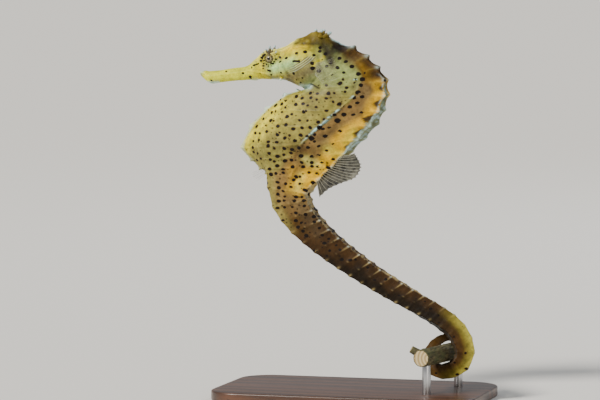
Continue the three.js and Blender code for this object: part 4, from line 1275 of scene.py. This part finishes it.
class SkinSettings(bpy.types.PropertyGroup):
    """Spots and paint of the skin."""

    spot_spacing: amount("Spot Spacing", "Millimetres between the dark spots", 2.0, min=1)
    snout: paint_colour("Snout", "Pale yellow of the snout", "#d4d43a")
    head: paint_colour("Head", "Yellow of the head and belly edge", "#c6b90a")
    ochre: paint_colour("Crown", "Ochre of the crown", "#71611c")
    grey_green: paint_colour("Cheek", "Grey-green of the cheek", "#add489")
    taupe: paint_colour("Gill Cover", "Grey-brown of the lower gill cover", "#675c45")
    neck: paint_colour("Neck", "Pale green of the flank behind the head", "#939f5c")
    olive: paint_colour("Flank", "Olive yellow of the flank", "#908741")
    moss: paint_colour("Moss", "Greener clouds on the flank", "#8a8440")
    cream: paint_colour("Vent", "Cream strip under the tail's base", "#918645")
    nape: paint_colour("Nape", "Dark brown of the nape", "#120b05")
    bronze: paint_colour("Bronze", "Brown of the upper back", "#4b3410")
    orange: paint_colour("Orange", "Orange brown above the lateral ridge", "#83683a")
    gold: paint_colour("Gold", "Golden yellow of the back's margin", "#f0bb02")
    # Brown of the tail, darkened with painted shade where the tail lay away from the light
    tail_brown: paint_colour("Tail", "Brown of the tail", "#1a1207")
    umber: paint_colour("Umber", "Warm brown of the tail's upper half", "#412b12")
    # Painted highlight along the lateral ridge
    lateral_ridge_highlight: paint_colour("Ice", "Blue-white of the lateral ridge", "#a6ecf2")
    lime: paint_colour("Bend", "Yellow-green on the back of the tail's bend", "#bdb348")
    slate: paint_colour("Dorsal Strip", "Grey-green between the superior ridges", "#74866c")
    # Painted shade: the hollows below the tubercles, the gill slit and the folds of the relief
    shadow: paint_colour("Hollows", "Dark hollows below the tubercles", "#2e2213")
    # Also the painted highlight on the ridges
    bone: paint_colour("Bone", "Pale yellow of the forehead", "#fffb80")
    chalk: paint_colour("Chalk", "Cream of the tail's bars and dots", "#c4ad72")
    straw: paint_colour("Straw", "Bright yellow of the breast", "#ecdd40")
    # Partly the edges' own pale colour, partly a painted bluish rim highlight
    pale_edge: paint_colour("Edges", "Bluish white of ridges and tubercles", "#c2e2e6")
    spot: paint_colour("Spots", "Near-black of the spots", "#120b08")
    halo: paint_colour("Halo", "Brown that softens the spots' edges", "#6a4c22")


class EyeSettings(bpy.types.PropertyGroup):
    """Glass eyes."""

    pupil: length("Pupil", "Radius of the pupil", 0.0005)
    iris_gold: paint_colour("Iris", "Dull gold of the iris", "#8d8450")
    iris_brown: paint_colour("Rays", "Brown rays of the iris", "#20150c")
    iris_ring: paint_colour("Ring", "Bright ring round the pupil", "#b0a46a")
    pupil_black: paint_colour("Black", "Black of the pupil", "#050505")


class FinSettings(bpy.types.PropertyGroup):
    """Clear fins on fine rays."""

    membrane_thickness: length("Membrane Thickness", "Thickness of the clear sheet", 0.00009)
    smoky_opacity: amount("Smoky Opacity", "Opacity of the dorsal fin", 0.84, min=0, max=1)
    clear_opacity: amount("Clear Opacity", "Opacity of the other fins", 0.04, min=0, max=1)
    membrane: paint_colour("Membrane", "Tint of the sheet", "#1b1a13")
    ray: paint_colour("Rays", "Ivory of the rays", "#dcdbc8")
    ray_joint: paint_colour("Joints", "Warm grey of the rays' joints", "#b9b6a2")


class StandSettings(bpy.types.PropertyGroup):
    """Perch, rods and base."""

    corner: length("Corner Radius", "Radius of the base's corners", 0.0095)
    chamfer: length("Edge Rounding", "Rounding of the base's edges", 0.0005)
    bark_dark: paint_colour("Bark Furrows", "Dark of the bark's furrows", "#2a2618")
    bark_light: paint_colour("Bark Ridges", "Light of the bark's ridges", "#6d6443")
    bark_green: paint_colour("Bark Green", "Green cast of the bark", "#4a5230")
    cut_pale: paint_colour("Cut Wood", "Sawn wood", "#c9b68a")
    cut_ring: paint_colour("Cut Rings", "Rings of the sawn wood", "#9a8355")
    wood_dark: paint_colour("Walnut Dark", "Dark lines of the walnut", "#2b1a10")
    wood_light: paint_colour("Walnut Light", "Light lines of the walnut", "#6b4630")
    wood_warm: paint_colour("Walnut Warm", "Warm cast of the walnut", "#4e3020")
    steel: paint_colour("Steel", "Stainless steel", "#c4c5c7")


class StageSettings(bpy.types.PropertyGroup):
    """Floor, light and camera."""

    floor: paint_colour("Floor", "Pale card under the model", "#e9e7e2")
    key_power: amount("Key Light", "Strength of the main light", 4.4, min=0)
    fill_power: amount("Fill Light", "Power of the fill", 1.6, unit="POWER", min=0)
    rim_power: amount("Rim Light", "Power of the light from behind", 1.6, unit="POWER", min=0)
    sky: amount("Sky", "Strength of the light from all round", 0.42, min=0)
    lens: amount("Lens", "Focal length in millimetres", 200, unit="CAMERA", min=20)
    view_width: length("View Width", "Width that the camera takes in at the model", 0.174)
    azimuth: amount("Azimuth", "Camera's turn from the left flank", math.radians(16), subtype="ANGLE")
    elevation: amount("Elevation", "Camera's height angle", math.radians(4), subtype="ANGLE")


SETTINGS = {
    "seahorse_skin": SkinSettings,
    "seahorse_eyes": EyeSettings,
    "seahorse_fins": FinSettings,
    "seahorse_stand": StandSettings,
    "seahorse_stage": StageSettings,
}


# ---- Skin --------------------------------------------------------------------------------------
CROWN_KNOBS = [  # foot, tip
    ((-11.6, 0, 104.6), (-11.8, 0, 106.2)),
    ((-10.2, 0.8, 104.6), (-9.8, 1.4, 106.1)),
    ((-10.2, -0.8, 104.6), (-9.8, -1.4, 106.1)),
    ((-9.3, 0.4, 104.4), (-7.8, 0.8, 105.5)),
    ((-9.3, -0.4, 104.4), (-7.8, -0.8, 105.5)),
]
SIDE_SPINES = [  # foot, tip, kind
    ((-25.1, 2.0, 99.2), (-24.95, 2.6, 101.6), "brow"),
    ((-25.6, 2.1, 99.2), (-26.1, 2.8, 100.9), "fleck"),
    ((-24.5, 2.1, 99.3), (-24.0, 2.7, 101.0), "fleck"),
    ((-26.2, 2.1, 98.9), (-27.1, 2.7, 100.1), "fleck"),
    ((-23.9, 2.3, 98.9), (-22.9, 2.9, 100.1), "fleck"),
    ((-25.2, 2.4, 99.4), (-25.5, 3.2, 100.6), "fleck"),
    ((-21.3, 2.5, 93.4), (-21.5, 3.05, 92.1), "cheek"),
]
KNOB_RADII = {  # at the foot, below the bead, and of the bead
    "crown": (1.1, 0.42, 0.48),
    "brow": (0.85, 0.27, 0.27),
    "fleck": (0.5, 0.16, 0.16),
    "cheek": (0.9, 0.34, 0.34),
}
KNOB_LIGHT = 0.9  # how pale the knobs' tips are, partly a painted highlight
MOUTH_END = ((0.3, 0.26), (0.62, 0.2), (0.86, 0.1))  # share of the first outline's size, mm ahead of it
TAIL_END = ((0.86, 0.12), (0.6, 0.26), (0.3, 0.34))


def rounded_end(row, centre, way, steps):
    """Rows that close an end: each step is a share of the outline's size and how far along it lies."""
    ahead = way / np.linalg.norm(way)
    return np.array([centre + (row - centre) * size + ahead * out for size, out in steps])


def skin_piece(settings):
    """The closed skin of the whole body, with its knobs and spines and its paint."""
    g = Grid()
    points = shaped_points(g)
    light, (often, larger), gap = pale_ridges_and_highlights(g), spot_amounts(g), hand_spots(g)
    values = np.stack([g.whole(light), g.whole(often) * smooth(gap, 0.5, 0.9), g.whole(larger), gap], -1)
    colours = paint(g, settings, hollowness(g, points))
    mouth = rounded_end(points[0], g.centre[0], g.centre[0] - g.centre[3], MOUTH_END)
    tip = rounded_end(points[-1], g.centre[-1], g.centre[-1] - g.centre[-3], TAIL_END)

    def with_ends(rows, start=None, end=None):
        start = np.repeat(rows[:1], len(MOUTH_END), 0) if start is None else start
        end = np.repeat(rows[-1:], len(TAIL_END), 0) if end is None else end
        return np.concatenate([start, rows, end])

    thin_row = len(MOUTH_END) + int(np.searchsorted(g.s, THIN_FROM))
    skin = Skin()
    skin.add_loft(
        with_ends(points, mouth, tip), with_ends(colours), with_ends(values), with_ends(g.unrolled), thin_row
    )
    for foot, tip_place in CROWN_KNOBS:
        skin.add_knob(foot, tip_place, KNOB_RADII["crown"], tone(settings, "ochre"), KNOB_LIGHT)
    for _, sign in SIDES:
        for foot, tip_place, kind in SIDE_SPINES:
            across = np.array([1, sign, 1])
            colour = tone(settings, "head" if kind == "cheek" else "taupe")
            skin.add_knob(foot * across, tip_place * across, KNOB_RADII[kind], colour, KNOB_LIGHT)
    return skin.make("skin")


FLESH = (
    "snout", "head", "neck", "trunk_upper", "trunk_lower", "tail_base", "tail_middle", "tail_lower",
    "tail_curl", "tail_coil", "tail_tip", "coronet",
)


class SEAHORSE_OT_skin(bpy.types.Operator):
    """Builds the painted skin, which stands for all the lengths of the body and the crown"""

    bl_idname = "seahorse.skin"
    bl_label = "Skin"

    def execute(self, context):
        settings = context.scene.seahorse_skin
        piece = skin_piece(settings)
        piece.data.materials.append(painted_skin(settings))
        hand_in(piece, "skin", *FLESH)
        return {"FINISHED"}


# ---- Eyes --------------------------------------------------------------------------------------
CORNEA_RISE, CORNEA_REACH = 0.14, 1.2  # millimetres that the clear front stands out, and its radius


def eye_piece(side, sign):
    """A ball with its poles on the eye's axis, whose front is drawn out into a low cornea."""
    low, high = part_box(f"eye_{side}")
    piece = add_primitive(
        bpy.ops.mesh.primitive_uv_sphere_add, f"glass_eye_{side}", segments=56, ring_count=36,
        radius=EYE["radius"] * MM, location=(low + high) / 2, rotation=(math.pi / 2, 0, 0),
    )
    bpy.ops.object.mode_set(mode="EDIT")
    bpy.ops.mesh.select_mode(type="VERT")
    bpy.ops.mesh.select_all(action="DESELECT")
    bpy.ops.object.mode_set(mode="OBJECT")
    max(piece.data.vertices, key=lambda v: sign * v.co.y).select = True
    bpy.ops.object.mode_set(mode="EDIT")
    bpy.ops.transform.translate(
        value=(0, sign * CORNEA_RISE * MM, 0),
        use_proportional_edit=True,
        proportional_edit_falloff="SMOOTH",
        proportional_size=CORNEA_REACH * MM,
    )
    bpy.ops.object.mode_set(mode="OBJECT")
    bpy.ops.object.shade_smooth()
    return piece


class SEAHORSE_OT_eyes(bpy.types.Operator):
    """Builds the two glass eyes in their turrets"""

    bl_idname = "seahorse.eyes"
    bl_label = "Eyes"

    def execute(self, context):
        material = painted_eye(context.scene.seahorse_eyes)
        for side, sign in SIDES:
            piece = eye_piece(side, sign)
            piece.data.materials.append(material)
            hand_in(piece, "eye", f"eye_{side}")
        return {"FINISHED"}


# ---- Fins --------------------------------------------------------------------------------------
# Base line and line of the ray tips in the fin's own plane, in millimetres, as in the CAD plates.
DORSAL_FIN = {
    "rays": 18,
    "ray": 0.00012,  # the radius of a ray at its foot, in metres
    "sweep": 1.45,  # above 1 the rays' tips crowd towards the first ray
    "base": [(-3.5, 70.2), (-7.4, 66.2), (-11.5, 62.6)],
    "tips": [(-0.2, 70.9), (1.9, 67.3), (0.2, 63.9), (-4.0, 62.2), (-7.9, 60.4), (-10.6, 58.0)],
}
ANAL_FIN = {
    "rays": 5,
    "ray": 0.00006,
    "sweep": 1,
    "base": [(-27.7, 66.4), (-26.9, 65.9), (-26.1, 65.2)],
    "tips": [(-30.9, 64.9), (-30.8, 63.6), (-29.4, 62.6)],
}
PECTORAL_FIN = {
    "rays": 16,
    "ray": 0.00005,
    "sweep": 1,
    "base": [(0, 2.0), (0.25, 0), (0, -2.0)],
    "tips": [(5.0, 4.1), (7.2, 1.6), (7.0, -1.9), (4.6, -4.6)],
}
PECTORAL_ROOT = np.array([-9.8, 5.75, 95.2])
PECTORAL_SPREAD, PECTORAL_DROOP = math.radians(20), math.radians(8)
SCALLOP = 0.06  # how far the margin draws back between two rays, as a share of their length
ROOTED = 0.7  # millimetres that a ray goes on below the base line
SHEET_ROOTED = -0.06  # share of a ray's length that the sheet goes on below it
RAY_STEPS, RAY_OVER, RAY_TIP = 10, 1.02, 0.42  # points of a ray, its end past the margin, its tip's radius
WAVE = 0.22  # millimetres that the sheet sways to each side
COLUMNS_PER_GAP, SHEET_ROWS = 4, 14


def line_at(points, share):
    """Places on a smooth line through a fin's points, as shares of its course."""
    return curve_at(np.array(points, float), np.asarray(share) * (len(points) - 1))


def fin_place(fin, share, reach, placed):
    """Where a fin is at a share along its base and a reach from base to tip."""
    base, tips = line_at(fin["base"], share), line_at(fin["tips"], share ** fin["sweep"])
    reach = np.asarray(reach)
    flat = base + (tips - base) * reach[:, None]
    bowed = 0.04 * np.linalg.norm(tips - base, axis=1) * np.sin(math.pi * np.clip(reach, 0, 1))
    sway = WAVE * np.sin(2 * math.pi * 1.5 * share + 0.7) * np.clip(reach, 0, 1) ** 1.3
    return placed(np.stack([flat[:, 0], sway, flat[:, 1] - bowed], -1))


def fin_sheet(name, fin, placed, thickness):
    """The clear sheet: a grid between base and margin, scalloped between the rays."""
    gaps = fin["rays"] - 1
    cells = {"x_subdivisions": gaps * COLUMNS_PER_GAP, "y_subdivisions": SHEET_ROWS}
    sheet = add_primitive(bpy.ops.mesh.primitive_grid_add, name, size=1, **cells)
    places = np.array([v.co for v in sheet.data.vertices])
    share, reach = places[:, 0] + 0.5, places[:, 1] + 0.5
    margin = 1 - SCALLOP * np.abs(np.sin(math.pi * gaps * share))
    reach = (SHEET_ROOTED + (1 - SHEET_ROOTED) * reach) * margin
    sheet.data.vertices.foreach_set("co", (fin_place(fin, share, reach, placed) * MM).ravel())
    sheet.data.update()
    solidify = sheet.modifiers.new("thickness", "SOLIDIFY")
    solidify.thickness = thickness
    solidify.offset = 0
    bpy.ops.object.modifier_apply(modifier=solidify.name)
    bpy.ops.object.shade_smooth()
    return sheet


def fin_rays(name, fin, placed, radius):
    """The rays: tapering tubes from below the base line to just past the margin."""
    curve = bpy.data.curves.new(name, "CURVE")
    curve.dimensions = "3D"
    curve.bevel_depth = radius
    curve.bevel_resolution = 2
    curve.use_fill_caps = True
    for ray in range(fin["rays"]):
        share = np.full(RAY_STEPS, ray / (fin["rays"] - 1))
        base, tips = line_at(fin["base"], share[:1]), line_at(fin["tips"], share[:1] ** fin["sweep"])
        reach = np.linspace(-ROOTED / np.linalg.norm(tips - base), RAY_OVER, RAY_STEPS)
        points = fin_place(fin, share, reach, placed) * MM
        spline = curve.splines.new("POLY")
        spline.points.add(RAY_STEPS - 1)
        for point, place, size in zip(spline.points, points, np.linspace(1, RAY_TIP, RAY_STEPS)):
            point.co = (*place, 1)
            point.radius = size
    rays = bpy.data.objects.new(name, curve)
    bpy.context.scene.collection.objects.link(rays)
    only(rays)
    bpy.ops.object.convert(target="MESH")
    bpy.ops.object.shade_smooth()
    return bpy.context.object


def fin_piece(name, fin, settings, materials, placed=lambda points: points):
    """A fin's sheet and rays, joined, where placed takes them from the fin's own plane."""
    sheet = fin_sheet(name, fin, placed, settings.membrane_thickness)
    rays = fin_rays(f"{name}_rays", fin, placed, fin["ray"])
    sheet.data.materials.append(materials[0])
    rays.data.materials.append(materials[1])
    only(sheet, rays)
    bpy.ops.object.join()
    return sheet


def beside_neck(sign):
    """Turns and moves a pectoral fin from its own plane to its place behind the gill cover."""
    turn, droop = sign * PECTORAL_SPREAD, PECTORAL_DROOP

    def placed(points):
        x, y, z = points.T
        x, y = x * math.cos(turn) - y * math.sin(turn), x * math.sin(turn) + y * math.cos(turn)
        x, z = x * math.cos(droop) + z * math.sin(droop), -x * math.sin(droop) + z * math.cos(droop)
        return np.stack([x, y, z], -1) + PECTORAL_ROOT * (1, sign, 1)

    return placed


class SEAHORSE_OT_fins(bpy.types.Operator):
    """Builds the dorsal, anal and two pectoral fins"""

    bl_idname = "seahorse.fins"
    bl_label = "Fins"

    def execute(self, context):
        settings = context.scene.seahorse_fins
        smoky = fin_membrane("smoky_pet_fin_membrane", settings.smoky_opacity, settings)
        clear = fin_membrane("clear_pet_fin_membrane", settings.clear_opacity, settings)
        ivory = fin_ray("ivory_nylon_fin_ray", 1.0, settings)
        faint = fin_ray("unpainted_nylon_fin_ray", 0.24, settings)
        dorsal = fin_piece("rayed_dorsal_fin", DORSAL_FIN, settings, (smoky, ivory))
        hand_in(dorsal, "fin", "dorsal_fin")
        anal = fin_piece("rayed_anal_fin", ANAL_FIN, settings, (clear, faint))
        hand_in(anal, "fin", "anal_fin")
        for side, sign in SIDES:
            node = f"pectoral_fin_{side}"
            pectoral = fin_piece(f"rayed_{node}", PECTORAL_FIN, settings, (clear, faint), beside_neck(sign))
            hand_in(pectoral, "fin", node)
        return {"FINISHED"}


# ---- Perch -------------------------------------------------------------------------------------
TWIG = {"radius": 2.5, "taper": 0.03, "front": -13, "back": 15}
STUB = {"at": -10, "foot": 1.3, "tip": 1.05, "reach": (-4, -1.2, 2.4)}
TWIG_WAY = np.array([TWIG_SLOPE, 1, 0]) / math.hypot(TWIG_SLOPE, 1)
BARK_RELIEF = 0.12  # millimetres


def on_twig(y):
    """The place on the twig's axis at a y in millimetres."""
    return TWIG_CENTRE + np.array([TWIG_SLOPE * y, y, 0])


def add_taper(start, end, start_radius, end_radius, sides=64):
    """A cone primitive, cut off at end_radius, between two places in millimetres."""
    way = Vector(end - start)
    return add_primitive(
        bpy.ops.mesh.primitive_cone_add, "taper", vertices=sides, radius1=start_radius * MM,
        radius2=end_radius * MM, depth=way.length * MM, location=(start + end) / 2 * MM,
        rotation=way.to_track_quat("Z", "Y").to_euler(),
    )


def perch_piece(settings):
    """A stem with lengthwise ridges, a swollen joint and a cut side shoot, fused into one form."""
    stem = add_taper(
        on_twig(TWIG["front"]), on_twig(TWIG["back"]),
        TWIG["radius"] * (1 - TWIG["taper"]), TWIG["radius"] * (1 + TWIG["taper"]),
    )
    foot, reach = on_twig(STUB["at"]), np.array(STUB["reach"])
    shoot = add_taper(foot, foot + reach, STUB["foot"], STUB["tip"], 40)
    only(stem, shoot)
    bpy.ops.object.join()
    stem.name = "cut_stem_perch"
    stem.data.remesh_voxel_size = 0.00022
    bpy.ops.object.voxel_remesh()
    places = np.array([v.co for v in stem.data.vertices]) / MM
    away = places - TWIG_CENTRE
    along = away @ TWIG_WAY
    radial = away - along[:, None] * TWIG_WAY
    distance = np.linalg.norm(radial, axis=1, keepdims=True)
    turn = np.arctan2(radial[:, 2], radial @ np.cross(TWIG_WAY, (0, 0, 1)))
    wander = 0.5 * np.sin(along * 0.35) + 0.3 * np.sin(along * 0.8 + 1)
    ridges = 0.6 * np.sin(11 * turn + wander) + 0.4 * np.sin(23 * turn - 2 * wander + along * 0.3)
    joint = 1.6 * bell(along - 9.5, 0.7) + 1.1 * bell(along + 10.2, 1.0)
    ends = plateau(along, TWIG["front"] - 0.5, TWIG["front"] + 0.9, TWIG["back"] - 0.3, TWIG["back"] + 0.5)
    on_stem = plateau(distance[:, 0], 1.9, 2.3, 2.6, 3.2)
    lift = BARK_RELIEF * (ridges + joint + 0.5 * lumps(places, 1.5, 41)) * on_stem * ends
    places += radial / np.maximum(distance, 1e-6) * lift[:, None]
    stem.data.vertices.foreach_set("co", (places * MM).ravel())
    stem.data.update()
    smoothing = stem.modifiers.new("soften", "SMOOTH")
    smoothing.factor, smoothing.iterations = 0.5, 1
    bpy.ops.object.modifier_apply(modifier=smoothing.name)
    bpy.ops.object.shade_smooth()
    stem.data.materials.append(stem_bark(settings))
    stem.data.materials.append(cut_wood(settings))
    for face in stem.data.polygons:
        centre, normal = np.array(face.center) / MM, np.array(face.normal)
        from_pith = np.linalg.norm(np.cross(centre - TWIG_CENTRE, TWIG_WAY))
        on_end = abs(normal @ TWIG_WAY) > 0.85 and from_pith < 2.2
        faces_out = normal @ reach > 0.85 * np.linalg.norm(reach)
        on_shoot = faces_out and np.linalg.norm(centre - foot - reach) < 0.95
        face.material_index = int(on_end or on_shoot)
    return stem


class SEAHORSE_OT_perch(bpy.types.Operator):
    """Builds the cut stem that the tail holds"""

    bl_idname = "seahorse.perch"
    bl_label = "Perch"

    def execute(self, context):
        piece = perch_piece(context.scene.seahorse_stand)
        hand_in(piece, "bark", "perch_twig")
        return {"FINISHED"}


# ---- Stand -------------------------------------------------------------------------------------
ROD_EASING = 0.00015  # metres
SMOOTH_ANGLE = math.radians(25)


def bevel(piece, wanted, **options):
    """Bevels the edges for which wanted(start, end) is true."""
    bpy.ops.object.mode_set(mode="EDIT")
    bpy.ops.mesh.select_mode(type="EDGE")
    bpy.ops.mesh.select_all(action="DESELECT")
    bpy.ops.object.mode_set(mode="OBJECT")
    corners = piece.data.vertices
    for edge in piece.data.edges:
        edge.select = wanted(*(corners[i].co for i in edge.vertices))
    bpy.ops.object.mode_set(mode="EDIT")
    bpy.ops.mesh.bevel(affect="EDGES", **options)
    bpy.ops.object.mode_set(mode="OBJECT")


def is_level(a, b):
    """Whether an edge from a to b is level."""
    return abs(a.z - b.z) < 1e-6


def base_piece(settings):
    """A board with rounded corners and softly rounded edges."""
    low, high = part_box("stand_base")
    place = {"location": (low + high) / 2, "scale": high - low}
    piece = add_primitive(bpy.ops.mesh.primitive_cube_add, "walnut_base", size=1, **place)
    bevel(piece, lambda a, b: not is_level(a, b), offset=settings.corner, segments=16)
    bevel(piece, is_level, offset=settings.chamfer, segments=4)
    bpy.ops.object.shade_smooth_by_angle(angle=SMOOTH_ANGLE)
    return piece


def rod_piece(end):
    """A rod with eased ends, where the CAD rod is."""
    low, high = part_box(f"stand_rod_{end}")
    piece = add_primitive(
        bpy.ops.mesh.primitive_cylinder_add, f"steel_rod_{end}", vertices=64, radius=(high.x - low.x) / 2,
        depth=high.z - low.z, location=(low + high) / 2,
    )
    bevel(piece, is_level, offset=ROD_EASING, segments=2)
    bpy.ops.object.shade_smooth_by_angle(angle=SMOOTH_ANGLE)
    return piece


class SEAHORSE_OT_stand(bpy.types.Operator):
    """Builds the walnut base and the two steel rods"""

    bl_idname = "seahorse.stand"
    bl_label = "Stand"

    def execute(self, context):
        settings = context.scene.seahorse_stand
        base = base_piece(settings)
        base.data.materials.append(walnut(settings))
        hand_in(base, "dark_wood", "stand_base")
        steel = brushed_steel(settings)
        for end in ("front", "back"):
            rod = rod_piece(end)
            rod.data.materials.append(steel)
            hand_in(rod, "steel", f"stand_rod_{end}")
        return {"FINISHED"}


# ---- Stage -------------------------------------------------------------------------------------
AIM = Vector((-16.6, 0, 57.1)) * MM  # the middle of the view
SENSOR = 36  # millimetres across
# Where the lights stand, in metres from the aim, the angle that the sun fills and the side of the others.
KEY_SIDE, FILL_SIDE, RIM_SIDE = (-0.45, -0.6, 0.62), (0.7, -0.7, 0.1), (0.35, 0.7, 0.6)
SUN_ANGLE, PANEL_SIDE = math.radians(14), 0.5


def add_light(name, kind, power, offset, tint):
    """A light that looks at the model."""
    offset = Vector(offset)
    facing = offset.to_track_quat("Z", "Y").to_euler()
    bpy.ops.object.light_add(type=kind, location=AIM + offset, rotation=facing)
    light = bpy.context.object
    light.name = f"{name}_light"
    light.data.energy = power
    light.data.color = linear(tint)[:3]
    if kind == "SUN":
        light.data.angle = SUN_ANGLE
    else:
        light.data.size = PANEL_SIDE


def add_camera(settings):
    """A camera at the distance from which its lens takes in the view's width."""
    turn, rise = settings.azimuth, settings.elevation
    way = Vector((math.sin(turn) * math.cos(rise), -math.cos(turn) * math.cos(rise), math.sin(rise)))
    distance = settings.view_width * settings.lens / SENSOR
    bpy.ops.object.camera_add(location=AIM + way * distance, rotation=way.to_track_quat("Z", "Y").to_euler())
    camera = bpy.context.object
    camera.name = "view"
    camera.data.lens = settings.lens
    camera.data.sensor_width = SENSOR
    camera.data.clip_start = 0.01
    bpy.context.scene.camera = camera


class SEAHORSE_OT_stage(bpy.types.Operator):
    """Builds the floor, the lights and the camera"""

    bl_idname = "seahorse.stage"
    bl_label = "Stage"

    def execute(self, context):
        settings = context.scene.seahorse_stage
        floor = add_primitive(bpy.ops.mesh.primitive_plane_add, "floor", size=40)
        floor.data.materials.append(matt_card(settings))
        add_light("key", "SUN", settings.key_power, KEY_SIDE, "#fffaf2")
        add_light("fill", "AREA", settings.fill_power, FILL_SIDE, "#fff4e6")
        add_light("rim", "AREA", settings.rim_power, RIM_SIDE, "#e6f1ff")
        world = bpy.data.worlds.new("pale_room")
        world.use_nodes = True
        background = world.node_tree.nodes["Background"]
        background.inputs["Color"].default_value = linear("#eef0f2")
        background.inputs["Strength"].default_value = settings.sky
        context.scene.world = world
        add_camera(settings)
        return {"FINISHED"}


# ---- Panel and main ----------------------------------------------------------------------------
OPERATORS = (
    SEAHORSE_OT_skin,
    SEAHORSE_OT_eyes,
    SEAHORSE_OT_fins,
    SEAHORSE_OT_perch,
    SEAHORSE_OT_stand,
    SEAHORSE_OT_stage,
)


class SEAHORSE_PT_build(bpy.types.Panel):
    """Lists the steps that build the model"""

    bl_label = "Seahorse"
    bl_space_type = "VIEW_3D"
    bl_region_type = "UI"
    bl_category = "Seahorse"

    def draw(self, context):
        for operator in OPERATORS:
            self.layout.operator(operator.bl_idname)


def register():
    for group in SETTINGS.values():
        bpy.utils.register_class(group)
    for name, group in SETTINGS.items():
        setattr(bpy.types.Scene, name, PointerProperty(type=group))
    for operator in OPERATORS:
        bpy.utils.register_class(operator)
    bpy.utils.register_class(SEAHORSE_PT_build)


def unregister():
    bpy.utils.unregister_class(SEAHORSE_PT_build)
    for operator in reversed(OPERATORS):
        bpy.utils.unregister_class(operator)
    for name in SETTINGS:
        delattr(bpy.types.Scene, name)
    for group in reversed(SETTINGS.values()):
        bpy.utils.unregister_class(group)


def main():
    register()
    for operator in OPERATORS:
        step = operator.bl_idname.split(".")[1]
        if getattr(bpy.ops.seahorse, step)() != {"FINISHED"}:
            raise RuntimeError(f"the {step} step did not finish")


if __name__ == "__main__":
    main()
